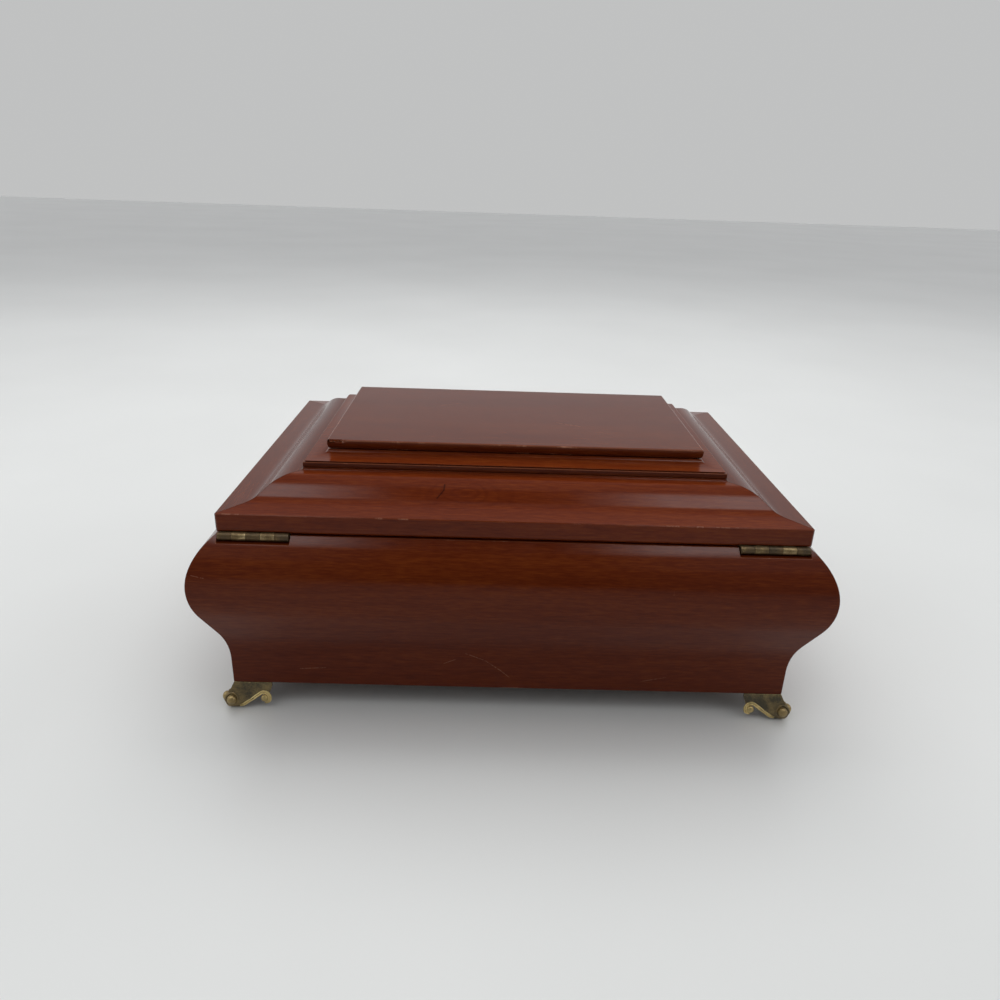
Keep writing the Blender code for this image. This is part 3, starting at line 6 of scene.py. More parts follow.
import bmesh
import bpy
from mathutils import Matrix, Vector


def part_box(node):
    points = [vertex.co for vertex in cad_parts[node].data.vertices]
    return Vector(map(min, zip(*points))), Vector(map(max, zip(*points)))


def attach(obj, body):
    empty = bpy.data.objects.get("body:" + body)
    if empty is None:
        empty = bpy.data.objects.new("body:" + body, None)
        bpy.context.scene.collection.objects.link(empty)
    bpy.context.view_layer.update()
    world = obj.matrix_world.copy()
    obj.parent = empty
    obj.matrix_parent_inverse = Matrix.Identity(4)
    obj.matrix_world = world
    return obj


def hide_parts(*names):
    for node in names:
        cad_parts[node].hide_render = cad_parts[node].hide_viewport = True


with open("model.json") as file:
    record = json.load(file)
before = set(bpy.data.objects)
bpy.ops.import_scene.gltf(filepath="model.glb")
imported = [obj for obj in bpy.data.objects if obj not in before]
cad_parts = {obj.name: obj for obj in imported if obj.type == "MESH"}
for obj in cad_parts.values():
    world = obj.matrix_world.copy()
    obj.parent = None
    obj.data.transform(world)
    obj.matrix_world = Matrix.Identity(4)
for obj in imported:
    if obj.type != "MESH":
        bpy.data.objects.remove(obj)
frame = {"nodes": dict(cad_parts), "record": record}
NODES = frame["nodes"]
RECORD = frame["record"]
BODY_OF = {node: body for body, nodes in RECORD["behaviour"]["bodies"].items() for node in nodes}
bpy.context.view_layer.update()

# The camera as the photograph was taken, in metres and degrees
CAMERA_PLACE = (0.0136, 0.4093, 0.2445)
CAMERA_YAW = 1.0572
CAMERA_PITCH = 22.6109
CAMERA_ROLL = 1.9843
CAMERA_LENS = 27.703

# Mesh settings
MERGE = 0.000001
FLAT = math.radians(0.5)
EDGE_ANGLE = math.radians(28)
CAST_EDGE_ANGLE = math.radians(50)

# Widths of the rounded edges
WOOD_WIDTH = 0.00028
INNER_WIDTH = 0.0003
VELVET_WIDTH = 0.0006
SCREW_WIDTH = 0.00012
CAST_WIDTH = 0.00022
GLASS_WIDTH = 0.0004

# Foot, in the plane of one face, from the case's corner: the same lines as the cast foot's solid
FOOT_HEIGHT = 0.0132
FOOT_RUN = 0.0184
FOOT_METAL = 0.0016
FLARE = 0.0038
VOLUTE = (-0.0006, 0.0056)
VOLUTE_RADIUS = 0.0034
VOLUTE_BALL = 0.0024
SCROLL = (0.0149, 0.0054)
SCROLL_RADIUS = 0.0028
SCROLL_BALL = 0.0019
SWEEP = (0.0015, 0.0085)
SWEEP_RADIUS = 0.0073
SWEEP_START = -math.pi / 2 + 0.1
SWEEP_STEPS = 16
SCROLL_TURN = math.radians(215)
SCROLL_SHRINK = 0.0011
SCROLL_STEPS = 32
RIB_RADIUS = 0.00052
RIB_SPACING = 0.00092
RIB_RISE = 0.0001
RIB_LOWEST = 0.0006
RIB_SIDES = 10
SECOND_RIB = 0.85
RING_ANGLES = (math.radians(250), math.radians(-50))
RING_STEPS = 30
BALL_SEGMENTS = (28, 16)
SCROLL_RISE = 0.75
SCROLL_SINK = 0.0002
VOLUTE_RISE = 0.85

# Foot's flare: how sharply it grows downward, its tuck below the volute, and how much of it is gone at the scroll
FLARE_GROWTH = 1.05
FLARE_TUCK = 0.6
FLARE_FADE = 0.5

# Foot's plate: its outline before the sweep and after the scroll, and the cuts that let it bend
PLATE_TOE = 0.001
PLATE_START = ((-FLARE - PLATE_TOE, FOOT_HEIGHT), (-FLARE - PLATE_TOE, 0.0), (0.0002, 0.0), (0.0022, 0.0004))
PLATE_SWEEP_FROM = 0.0014
PLATE_SCROLL_POINTS = 14
PLATE_END = ((FOOT_RUN - 0.0006, FOOT_HEIGHT - 0.0038), (FOOT_RUN, FOOT_HEIGHT - 0.0020), (FOOT_RUN, FOOT_HEIGHT))
PLATE_LEVELS = [0.0008 * i for i in range(1, 17)]
PLATE_RUNS = [0.0012 * i for i in range(-3, 16)]

# How far the patina is rubbed off: 1 on a worn edge, and less than 0 where it stays thick
PLATE_PROUD = 0.33
RIB_PROUD = 0.75
SCROLL_PROUD = 0.60
VOLUTE_PROUD = 0.46
RING_PROUD = 0.35
HINGE_PROUD = -0.5

# Colours
CHERRY = (0.118, 0.0190, 0.0042)
CHERRY_DARK = (0.066, 0.0080, 0.0024)
CHERRY_LIGHT = (0.190, 0.040, 0.0070)
WORN_WOOD = (0.36, 0.165, 0.10)
# Colour of rounded edges: rubbed wear, and a painted highlight along the arris
RUBBED_AND_HIGHLIGHT_WOOD = (0.22, 0.085, 0.045)
CUT_WOOD = (0.012, 0.003, 0.002)
INNER_WOOD = ((0.20, 0.095, 0.045), (0.36, 0.20, 0.105))
# Bottom board's wood, darker than the inner wood as painted shade, so that the floor under the box looks darker
BOTTOM_WOOD_SHADE_DARK = ((0.10, 0.047, 0.022), (0.17, 0.085, 0.042))
RED_VELVET = ((0.115, 0.0075, 0.0125), (0.185, 0.0145, 0.023))
VELVET_SHEEN = (0.75, 0.16, 0.20, 1.0)
CREAM_PLASTIC = ((0.66, 0.63, 0.54), (0.82, 0.79, 0.70))
MIRROR = ((0.86, 0.88, 0.88), (0.62, 0.62, 0.60), (0.35, 0.42, 0.40))
PALE_FLOOR = ((0.72, 0.73, 0.72), (0.77, 0.78, 0.77))

# Metals with a patina, as their grime and the colours of their hollows, of the patina and of bright metal
CAST_BRASS = (0.42, (0.070, 0.058, 0.034), (0.30, 0.215, 0.092), (0.78, 0.62, 0.29))
HINGE_BRASS = (0.02, (0.035, 0.022, 0.010), (0.135, 0.088, 0.038), (0.90, 0.70, 0.36))
HINGE_RUBBED = (-0.08, (0.035, 0.022, 0.010), (0.18, 0.122, 0.053), (0.95, 0.78, 0.44))
PATINA_ROUGH = (0.30, 0.50)

# Machined metals, as two colours and roughness, and the stretch of their tool marks
BRIGHT_BRASS = ((0.52, 0.36, 0.13), (0.78, 0.60, 0.28), 0.24)
GROUND_STEEL = ((0.42, 0.42, 0.43), (0.66, 0.66, 0.68), 0.22)
PLATED_ZINC = ((0.30, 0.30, 0.31), (0.52, 0.52, 0.54), 0.38)
TOOL_MARKS = (400.0, 60.0, 400.0)

# Painted shade: boards whose lacquer is darkened where less light falls on them, as a share of the plain colour
REAR_PAINTED_SHADE = 0.84
SLAB_PAINTED_SHADE = 0.8
BOARD_PAINTED_SHADE = 0.7
END_PAINTED_SHADE = 0.8

# Grain: how much finer its figure is across the board than along it
GRAIN_BANDS = (2.6, 24.0, 24.0)
GRAIN_FIBRES = (34.0, 620.0, 620.0)
GRAIN_FLECKS = (150.0, 1500.0, 1500.0)
GRAIN_PORES = (210.0, 3400.0, 3400.0)

# Lacquer: how strongly each effect tints it, and its gloss
PORE_TINT = 0.25
CURL_TINT = 0.35
CUT_TINT = 0.9
EDGE_WEAR_AND_HIGHLIGHT_TINT = 0.35
BARE_TINT = 0.8
BARE_SHARE = 0.52
SCRATCH_TINT = 0.45
LACQUER_ROUGH = 0.14
LACQUER_SPECULAR = 0.14
SMUDGE_ROUGH = 0.07
RUBBED_ROUGH = 0.3

# The light that comes from each part of the room, as it is seen from the box
LOW_FRONT = (0.60, 0.605, 0.61)
LOW_REAR = (0.22, 0.223, 0.226)
HIGH_FRONT = (0.26, 0.263, 0.266)
HIGH_REAR = (0.56, 0.565, 0.57)
PERSON = (0.03, 0.03, 0.032)
WINDOW = (1.05, 1.06, 1.08)
GLOW = (6.5, 6.5, 6.6)
BACKDROP = (0.53, 0.535, 0.535)

# Borders of those parts, as x aside, y to the rear and z up of a direction; a part fades in from first to second
TOWARD_REAR = (-0.12, 0.15)
FRONT_TO_REAR = (-0.6, 0.2)
LOW_TO_HIGH = (0.48, 0.64)
PERSON_SIDE = (0.34, 0.10)
WINDOW_SIDE = (0.50, 0.72)
WINDOW_SILL = (0.20, 0.34)
WINDOW_HEAD = (0.74, 0.58)
GLOW_INNER = (0.13, 0.26)
GLOW_OUTER = (0.50, 0.40)
GLOW_SILL = (0.84, 0.93)

FLOOR_SIZE = 6.0

# Lamps as name, place, aim, size and power
LAMPS = (
    ("ceiling_lamp", (0.1, -0.62, 1.25), (0, -0.05, 0), (1.7, 1.0), 11),
    ("fill_lamp", (-0.1, 0.25, 1.25), (0, 0.05, 0), (1.9, 1.0), 4.5))

# Scratches and chips as start, end and width, in metres
CASE_MARKS = (
    ((0.0219, 0.0954, 0.0332), (0.0125, 0.0952, 0.0292), 0.00030),
    ((0.0125, 0.0952, 0.0292), (0.0046, 0.0950, 0.0235), 0.00034),
    ((0.0046, 0.0950, 0.0235), (0.0001, 0.0950, 0.0195), 0.00028),
    ((0.0324, 0.0951, 0.0269), (0.0267, 0.0952, 0.0294), 0.00028),
    ((0.0032, 0.0950, 0.0137), (-0.0062, 0.0950, 0.0137), 0.00050),
    ((-0.0643, 0.0951, 0.0191), (-0.0763, 0.0951, 0.0218), 0.00022),
    ((0.1019, 0.0951, 0.0220), (0.0897, 0.0951, 0.0229), 0.00026),
    ((0.1441, 0.1063, 0.0779), (0.1384, 0.1066, 0.0767), 0.00026),
    ((-0.0716, 0.1066, 0.0790), (-0.0716, 0.1072, 0.0745), 0.00024))
RIM_MARKS = (
    ((0.1314, 0.0948, 0.1031), (0.1242, 0.0948, 0.1031), 0.00045),
    ((0.0627, 0.0949, 0.1030), (0.0605, 0.0949, 0.1030), 0.00070),
    ((0.0528, 0.0950, 0.1029), (0.0488, 0.0950, 0.1029), 0.00050),
    ((-0.0674, 0.0949, 0.1031), (-0.0730, 0.0949, 0.1031), 0.00055),
    ((-0.0815, 0.0949, 0.1030), (-0.0838, 0.0949, 0.1030), 0.00070),
    ((-0.0902, 0.0949, 0.1031), (-0.0960, 0.0949, 0.1031), 0.00035),
    ((0.0865, 0.0655, 0.1138), (0.0861, 0.0655, 0.1138), 0.00050))
SLAB_MARKS = (
    ((0.0475, 0.0523, 0.1248), (0.0450, 0.0523, 0.1248), 0.00070),
    ((-0.0254, 0.0523, 0.1248), (-0.0278, 0.0523, 0.1248), 0.00060),
    ((-0.0221, 0.0119, 0.1249), (-0.0349, 0.0179, 0.1249), 0.00035),
    ((0.0860, 0.0521, 0.1249), (0.0480, 0.0523, 0.1249), 0.00040),
    ((0.0300, -0.0210, 0.1249), (0.0410, -0.0150, 0.1249), 0.00020))
FRONT_MARKS = (
    ((0.0410, -0.0952, 0.0330), (0.0560, -0.0951, 0.0290), 0.00026),
    ((-0.0820, -0.0951, 0.0210), (-0.0650, -0.0952, 0.0250), 0.00024),
    ((0.0100, -0.0950, 0.0137), (0.0190, -0.0950, 0.0137), 0.00050),
    ((-0.0300, -0.0949, 0.1030), (-0.0250, -0.0949, 0.1030), 0.00060),
    ((0.0700, -0.0949, 0.1030), (0.0760, -0.0949, 0.1030), 0.00050))
END_MARKS = (
    ((0.1350, 0.0300, 0.0300), (0.1350, 0.0380, 0.0340), 0.00026),
    ((-0.1350, -0.0220, 0.0260), (-0.1350, -0.0330, 0.0220), 0.00026),
    ((0.1349, 0.0120, 0.1030), (0.1349, 0.0170, 0.1030), 0.00060),
    ((-0.1349, -0.0420, 0.1030), (-0.1349, -0.0360, 0.1030), 0.00060))
NICK = (
    ((0.0368, 0.0790, 0.1069), (0.0338, 0.0756, 0.1096), 0.0005),
    ((0.0338, 0.0756, 0.1096), (0.0336, 0.0728, 0.1113), 0.0006))
CURL_PLACE = (0.0240, 0.0765, 0.1090)
CURL_REACH = 0.016

# Cove under the slab: how far it reaches past the slab's sides
COVE_REACH = 0.0090
COVE_INSET = 0.0006
COVE_STEPS = 10
COVE_FOOT = 0.0003
COVE_TOP_INSET = 0.003

# Slab's splintered corner: how far along the top edge it runs, how deep it goes, and the cuts that let it break
BREAK_SEED = 4
BREAK_REACH = 0.011
BREAK_DEPTH = 0.0019
BREAK_SLICES = 12
BREAK_WIDTHS = (0.0006, 0.0014)
BREAK_HEIGHTS = (0.0007, 0.0016)
BREAK_LIMITS = (0.0010, 0.0012)

# Lid's frame: its blunted outer corners, and the rounded hollow between its margin and its slope
CORNER_BLUNT = 0.0006
HOLLOW_ANGLES = (math.radians(26), math.radians(27.9))
HOLLOW_WIDTH = 0.0018
HOLLOW_SEGMENTS = 6

# Ring cushion's cover
STUFF_CELL = 0.0015
STUFF_SHRINK = 0.0006
STUFF_PRESSURE = 4.0
STUFF_QUALITY = 4
STUFF_MASS = 0.15
STUFF_FRAMES = 20
STUFF_CAP = 0.0011
STUFF_SWELL = 0.0004


# Node helpers

def add_node(tree, kind, values=None, **settings):
    """Adds a node, with its settings and the values of its sockets."""
    node = tree.nodes.new(kind)
    for key, value in settings.items():
        setattr(node, key, value)
    for key, value in (values or {}).items():
        node.inputs[key].default_value = value
    return node


def link(tree, source, target):
    tree.links.new(source, target)


def feed(tree, node, name, value):
    """Links a socket to an input, or sets the input to a value."""
    if isinstance(value, bpy.types.NodeSocket):
        link(tree, value, node.inputs[name])
    else:
        node.inputs[name].default_value = value


def maths(tree, operation, first, second=0.0, clamp=False):
    node = add_node(tree, "ShaderNodeMath", operation=operation, use_clamp=clamp)
    feed(tree, node, 0, first)
    feed(tree, node, 1, second)
    return node.outputs[0]


def stretched(tree, vector, scale, turn=(0.0, 0.0, 0.0)):
    node = add_node(tree, "ShaderNodeMapping")
    link(tree, vector, node.inputs["Vector"])
    node.inputs["Scale"].default_value = scale
    node.inputs["Rotation"].default_value = turn
    return node.outputs["Vector"]


def noise(tree, vector, scale=1.0, detail=2.0, roughness=0.5, distortion=0.0):
    node = add_node(tree, "ShaderNodeTexNoise", {"Scale": scale, "Detail": detail, "Roughness": roughness,
                                                 "Distortion": distortion})
    link(tree, vector, node.inputs["Vector"])
    return node.outputs["Fac"]


def between(tree, value, low, high, out_low=0.0, out_high=1.0):
    """A smooth step of a value from one level to another."""
    node = add_node(tree, "ShaderNodeMapRange", interpolation_type="SMOOTHSTEP")
    link(tree, value, node.inputs["Value"])
    for name, number in (("From Min", low), ("From Max", high), ("To Min", out_low), ("To Max", out_high)):
        node.inputs[name].default_value = number
    return node.outputs["Result"]


def ramp(tree, factor, stops):
    """A colour ramp with (place, colour) stops."""
    node = add_node(tree, "ShaderNodeValToRGB")
    link(tree, factor, node.inputs["Fac"])
    points = node.color_ramp.elements
    while len(points) < len(stops):
        points.new(0.5)
    for point, (place, colour) in zip(points, stops):
        point.position = place
        point.color = (*colour, 1.0)
    return node.outputs["Color"]


def mixed(tree, factor, first, second):
    """Two colours mixed by a factor; each may be a socket or three numbers."""
    node = add_node(tree, "ShaderNodeMix", data_type="RGBA")
    feed(tree, node, 0, factor)
    for place, colour in ((6, first), (7, second)):
        feed(tree, node, place, colour if isinstance(colour, bpy.types.NodeSocket) else (*colour, 1.0))
    return node.outputs[2]


def tinted(tree, colour, mask, strength, tint):
    """A colour that takes on a tint where the mask is high."""
    return mixed(tree, maths(tree, "MULTIPLY", mask, strength), colour, tint)


def layered(tree, *layers):
    """The sum of layers, each of them a value and its share."""
    total = None
    for value, share in layers:
        part = maths(tree, "MULTIPLY", value, share)
        total = part if total is None else maths(tree, "ADD", total, part)
    return total


def bumped(tree, height, strength, distance=0.0002):
    node = add_node(tree, "ShaderNodeBump", {"Strength": strength, "Distance": distance})
    link(tree, height, node.inputs["Height"])
    return node.outputs["Normal"]


def new_group(name, inputs, outputs):
    """A shader node group; inputs and outputs are (name, kind) pairs, and an input may have a value."""
    tree = bpy.data.node_groups.new(name, "ShaderNodeTree")
    for label, kind, *value in inputs:
        socket = tree.interface.new_socket(label, in_out="INPUT", socket_type=kind)
        if value:
            socket.default_value = value[0]
    for label, kind in outputs:
        tree.interface.new_socket(label, in_out="OUTPUT", socket_type=kind)
    return tree, tree.nodes.new("NodeGroupInput"), tree.nodes.new("NodeGroupOutput")


def placed(tree, group, **values):
    """Places a group in a material; words in the names of its inputs are joined by _."""
    node = add_node(tree, "ShaderNodeGroup", node_tree=group)
    for key, value in values.items():
        feed(tree, node, key.replace("_", " "), value)
    return node


# Effects that several materials use

def grain_group():
    """Straight, fine-pored grain along X: broad figure, fibres and short pores."""
    tree, given, out = new_group("straight_grain", [("Vector", "NodeSocketVector")],
                                 [("Tone", "NodeSocketFloat"), ("Pores", "NodeSocketFloat")])
    place = given.outputs["Vector"]
    bands = noise(tree, stretched(tree, place, GRAIN_BANDS), 1.0, 3.0, 0.5, 0.7)
    fibres = noise(tree, stretched(tree, place, GRAIN_FIBRES), 1.0, 4.0, 0.6, 0.3)
    flecks = noise(tree, stretched(tree, place, GRAIN_FLECKS), 1.0, 2.0, 0.6)
    link(tree, layered(tree, (bands, 0.40), (fibres, 0.25), (flecks, 0.35)), out.inputs["Tone"])
    pores = noise(tree, stretched(tree, place, GRAIN_PORES), 1.0, 1.0)
    link(tree, between(tree, pores, 0.60, 0.74), out.inputs["Pores"])
    return tree


def wear_group():
    """Breaks up the rubbed edges of a piece, so that only stretches of them are bare."""
    tree, given, out = new_group("rubbed_edges", [("Vector", "NodeSocketVector"), ("Edge", "NodeSocketFloat"),
                                                  ("Share", "NodeSocketFloat", 0.5)],
                                 [("Bare", "NodeSocketFloat")])
    coarse = noise(tree, given.outputs["Vector"], 70.0, 5.0, 0.7)
    level = maths(tree, "SUBTRACT", 0.85, maths(tree, "MULTIPLY", given.outputs["Share"], 0.5))
    over = maths(tree, "MULTIPLY", maths(tree, "SUBTRACT", coarse, level), 9.0, True)
    link(tree, maths(tree, "MULTIPLY", over, given.outputs["Edge"], True), out.inputs["Bare"])
    return tree


def scratch_group():
    """A fine scratch between two points."""
    places = [(label, "NodeSocketVector") for label in ("Vector", "Start", "End")]
    tree, given, out = new_group("fine_scratch", [*places, ("Width", "NodeSocketFloat", 0.0002)],
                                 [("Mask", "NodeSocketFloat")])

    def vector_maths(operation, first, second):
        node = add_node(tree, "ShaderNodeVectorMath", operation=operation)
        link(tree, first, node.inputs[0])
        link(tree, second, node.inputs[1])
        return node

    start = given.outputs["Start"]
    run = vector_maths("SUBTRACT", given.outputs["End"], start).outputs["Vector"]
    reach = vector_maths("SUBTRACT", given.outputs["Vector"], start).outputs["Vector"]
    share = maths(tree, "DIVIDE", vector_maths("DOT_PRODUCT", reach, run).outputs["Value"],
                  vector_maths("DOT_PRODUCT", run, run).outputs["Value"], True)
    scaled = add_node(tree, "ShaderNodeVectorMath", operation="SCALE")
    link(tree, run, scaled.inputs[0])
    link(tree, share, scaled.inputs["Scale"])
    away = vector_maths("DISTANCE", reach, scaled.outputs["Vector"]).outputs["Value"]
    core = maths(tree, "SUBTRACT", 1.0, maths(tree, "DIVIDE", away, given.outputs["Width"]), True)
    link(tree, core, out.inputs["Mask"])
    return tree


def smudge_group():
    """Faint hand marks and dust, as an uneven gloss."""
    tree, given, out = new_group("hand_marks", [("Vector", "NodeSocketVector")], [("Dull", "NodeSocketFloat")])
    broad = noise(tree, given.outputs["Vector"], 24.0, 4.0, 0.6, 0.4)
    link(tree, between(tree, broad, 0.38, 0.72), out.inputs["Dull"])
    return tree


def patina_group():
    """Dark patina that stays in the hollows and thins to bright metal where a hand rubs."""
    tree, given, out = new_group("metal_patina", [("Vector", "NodeSocketVector"), ("Proud", "NodeSocketFloat"),
                                                  ("Grime", "NodeSocketFloat", 0.5)],
                                 [("Bright", "NodeSocketFloat"), ("Mottle", "NodeSocketFloat")])
    mottle = noise(tree, given.outputs["Vector"], 150.0, 5.0, 0.6)
    fine = noise(tree, given.outputs["Vector"], 2200.0, 2.0, 0.5)
    uneven = layered(tree, (mottle, 0.8), (fine, 0.2))
    lifted = maths(tree, "ADD", maths(tree, "MULTIPLY", given.outputs["Proud"], 1.1), uneven)
    shown = maths(tree, "SUBTRACT", lifted, maths(tree, "ADD", given.outputs["Grime"], 0.35))
    link(tree, maths(tree, "MULTIPLY", shown, 1.6, True), out.inputs["Bright"])
    link(tree, uneven, out.inputs["Mottle"])
    return tree


GRAIN = grain_group()
WEAR = wear_group()
SCRATCH = scratch_group()
SMUDGE = smudge_group()
PATINA = patina_group()


# Materials

def shader_material(name, roughness=0.5, metallic=0.0):
    material = bpy.data.materials.new(name)
    material.use_nodes = True
    tree = material.node_tree
    surface = tree.nodes["Principled BSDF"]
    surface.inputs["Roughness"].default_value = roughness
    surface.inputs["Metallic"].default_value = metallic
    place = add_node(tree, "ShaderNodeTexCoord").outputs["Object"]
    return material, tree, surface, place


def edge_of(tree):
    return add_node(tree, "ShaderNodeAttribute", attribute_name="edge").outputs["Fac"]


def joined_marks(tree, place, marks):
    """The lines of all marks as one mask."""
    total = 0.0
    for start, finish, width in marks:
        mask = placed(tree, SCRATCH, Vector=place, Start=start, End=finish, Width=width).outputs["Mask"]
        total = maths(tree, "MAXIMUM", mask, total)
    return total


def broken_marks(tree, place, marks):
    """The scratches and chips as one broken-up mask."""
    total = joined_marks(tree, place, marks)
    broken = between(tree, noise(tree, place, 1100.0, 3.0, 0.6), 0.36, 0.54)
    return maths(tree, "MULTIPLY", total, broken, True)


def curl(tree, place, centre, reach):
    """Rings of figure where the grain runs round a small curl."""
    away = add_node(tree, "ShaderNodeVectorMath", {1: centre}, operation="SUBTRACT")
    link(tree, place, away.inputs[0])
    flat = stretched(tree, away.outputs["Vector"], (0.42, 1.0, 0.6))
    far = add_node(tree, "ShaderNodeVectorMath", operation="LENGTH")
    link(tree, flat, far.inputs[0])
    far = far.outputs["Value"]
    wavy = maths(tree, "ADD", far, maths(tree, "MULTIPLY", noise(tree, place, 120.0, 3.0), 0.006))
    rings = maths(tree, "SINE", maths(tree, "MULTIPLY", wavy, 2600.0))
    return maths(tree, "MULTIPLY", between(tree, rings, -0.2, 1.0), between(tree, far, reach, 0.0))


def wood_grain(tree, place, across):
    """The grain's tone and pores; boards that run across have their grain along Y."""
    turned = stretched(tree, place, (1.0, 1.0, 1.0), (0.0, 0.0, math.pi / 2 if across else 0.0))
    return placed(tree, GRAIN, Vector=turned).outputs


def lacquer(name, across, marks=(), nick=(), tone=1.0):
    """Cherry-red lacquer on straight-grained wood, with its marks, and with a cut and a curl if it has a nick."""
    material, tree, surface, place = shader_material(name, 0.26)
    grain = wood_grain(tree, place, across)
    # A tone below 1 darkens the whole lacquer as painted shade
    dark, plain, light = (tuple(tone * part for part in colour) for colour in (CHERRY_DARK, CHERRY, CHERRY_LIGHT))
    colour = ramp(tree, grain["Tone"], ((0.30, dark), (0.50, plain), (0.70, light)))
    colour = tinted(tree, colour, grain["Pores"], PORE_TINT, dark)
    if nick:
        figure = curl(tree, place, CURL_PLACE, CURL_REACH)
        colour = tinted(tree, colour, figure, CURL_TINT, dark)
        cut = joined_marks(tree, place, nick)
        colour = tinted(tree, colour, cut, CUT_TINT, CUT_WOOD)
    edge = edge_of(tree)
    bare = placed(tree, WEAR, Vector=place, Edge=edge, Share=BARE_SHARE).outputs["Bare"]
    # Every rounded edge is lightened along its whole length: partly rubbed wear, partly a painted highlight along the
    # arris
    colour = tinted(tree, colour, edge, EDGE_WEAR_AND_HIGHLIGHT_TINT, RUBBED_AND_HIGHLIGHT_WOOD)
    colour = tinted(tree, colour, bare, BARE_TINT, WORN_WOOD)
    scratched = broken_marks(tree, place, marks)
    colour = tinted(tree, colour, scratched, SCRATCH_TINT, WORN_WOOD)
    link(tree, colour, surface.inputs["Base Color"])
    dull = placed(tree, SMUDGE, Vector=place).outputs["Dull"]
    gloss = maths(tree, "ADD", maths(tree, "MULTIPLY", dull, SMUDGE_ROUGH), LACQUER_ROUGH)
    rubbed = maths(tree, "MAXIMUM", bare, scratched)
    rough = maths(tree, "ADD", gloss, maths(tree, "MULTIPLY", rubbed, RUBBED_ROUGH))
    link(tree, rough, surface.inputs["Roughness"])
    surface.inputs["Specular IOR Level"].default_value = LACQUER_SPECULAR
    height = maths(tree, "SUBTRACT", 1.0, scratched)
    link(tree, bumped(tree, height, 0.10, 0.00008), surface.inputs["Normal"])
    return material


def bare_wood(name, across, dark, light, roughness=0.55):
    """Plain sanded wood with an open grain."""
    material, tree, surface, place = shader_material(name, roughness)
    grain = wood_grain(tree, place, across)
    colour = ramp(tree, grain["Tone"], ((0.36, dark), (0.64, light)))
    colour = tinted(tree, colour, grain["Pores"], 0.5, dark)
    link(tree, colour, surface.inputs["Base Color"])
    dull = placed(tree, SMUDGE, Vector=place).outputs["Dull"]
    rough = maths(tree, "ADD", maths(tree, "MULTIPLY", dull, 0.12), roughness - 0.05)
    link(tree, rough, surface.inputs["Roughness"])
    height = maths(tree, "SUBTRACT", 1.0, grain["Pores"])
    link(tree, bumped(tree, height, 0.25), surface.inputs["Normal"])
    return material


def velvet(name, dark, light):
    """Short pile: patches where the nap lies one way or the other, and fine tufts."""
    material, tree, surface, place = shader_material(name, 0.9)
    nap = noise(tree, stretched(tree, place, (55.0, 18.0, 55.0)), 1.0, 3.0, 0.5, 0.6)
    tufts = noise(tree, place, 3200.0, 2.0, 0.6)
    tone = layered(tree, (nap, 0.5), (tufts, 0.5))
    link(tree, ramp(tree, tone, ((0.34, dark), (0.64, light))), surface.inputs["Base Color"])
    link(tree, between(tree, nap, 0.3, 0.7, 0.82, 0.96), surface.inputs["Roughness"])
    surface.inputs["Sheen Weight"].default_value = 0.6
    surface.inputs["Sheen Roughness"].default_value = 0.35
    surface.inputs["Sheen Tint"].default_value = VELVET_SHEEN
    link(tree, bumped(tree, tufts, 0.35), surface.inputs["Normal"])
    return material


def aged_metal(name, grime, hollow, tarnished, bright):
    """Metal with a patina that thins where its edge mark is high and thickens where it is below 0."""
    polished, dulled = PATINA_ROUGH
    material, tree, surface, place = shader_material(name, polished, 1.0)
    patina = placed(tree, PATINA, Vector=place, Proud=edge_of(tree), Grime=grime)
    shown = patina.outputs["Bright"]
    colour = ramp(tree, shown, ((0.0, hollow), (0.35, tarnished), (0.95, bright)))
    link(tree, colour, surface.inputs["Base Color"])
    link(tree, between(tree, shown, 0.0, 1.0, dulled, polished), surface.inputs["Roughness"])
    link(tree, between(tree, shown, 0.0, 0.8, 0.35, 1.0), surface.inputs["Metallic"])
    link(tree, bumped(tree, patina.outputs["Mottle"], 0.2, 0.00015), surface.inputs["Normal"])
    return material


def turned_metal(name, dark, light, roughness):
    """Clean machined metal with fine tool marks and a little dulling."""
    material, tree, surface, place = shader_material(name, roughness, 1.0)
    lines = noise(tree, stretched(tree, place, TOOL_MARKS), 4.0, 3.0, 0.6)
    cloud = noise(tree, place, 150.0, 3.0)
    tone = layered(tree, (lines, 0.45), (cloud, 0.55))
    colour = ramp(tree, tone, ((0.35, dark), (0.62, light)))
    colour = tinted(tree, colour, edge_of(tree), 0.35, light)
    link(tree, colour, surface.inputs["Base Color"])
    link(tree, between(tree, tone, 0.3, 0.7, roughness + 0.12, roughness), surface.inputs["Roughness"])
    link(tree, bumped(tree, lines, 0.12, 0.00005), surface.inputs["Normal"])
    return material


def moulded_plastic(name, dark, light):
    material, tree, surface, place = shader_material(name, 0.45)
    cloud = noise(tree, place, 260.0, 4.0, 0.6)
    link(tree, ramp(tree, cloud, ((0.35, dark), (0.65, light))), surface.inputs["Base Color"])
    link(tree, between(tree, cloud, 0.3, 0.7, 0.38, 0.52), surface.inputs["Roughness"])
    link(tree, bumped(tree, noise(tree, place, 4200.0, 2.0), 0.12, 0.00005), surface.inputs["Normal"])
    return material


def silvered_glass(name, clear, dusty, dim):
    """A mirror with a little dust and a dark, creeping edge."""
    material, tree, surface, place = shader_material(name, 0.02, 1.0)
    dust = between(tree, noise(tree, place, 800.0, 4.0, 0.7), 0.56, 0.78)
    colour = tinted(tree, clear, dust, 0.12, dusty)
    colour = tinted(tree, colour, edge_of(tree), 0.7, dim)
    link(tree, colour, surface.inputs["Base Color"])
    link(tree, maths(tree, "ADD", maths(tree, "MULTIPLY", dust, 0.08), 0.015), surface.inputs["Roughness"])
    return material


# Mesh helpers

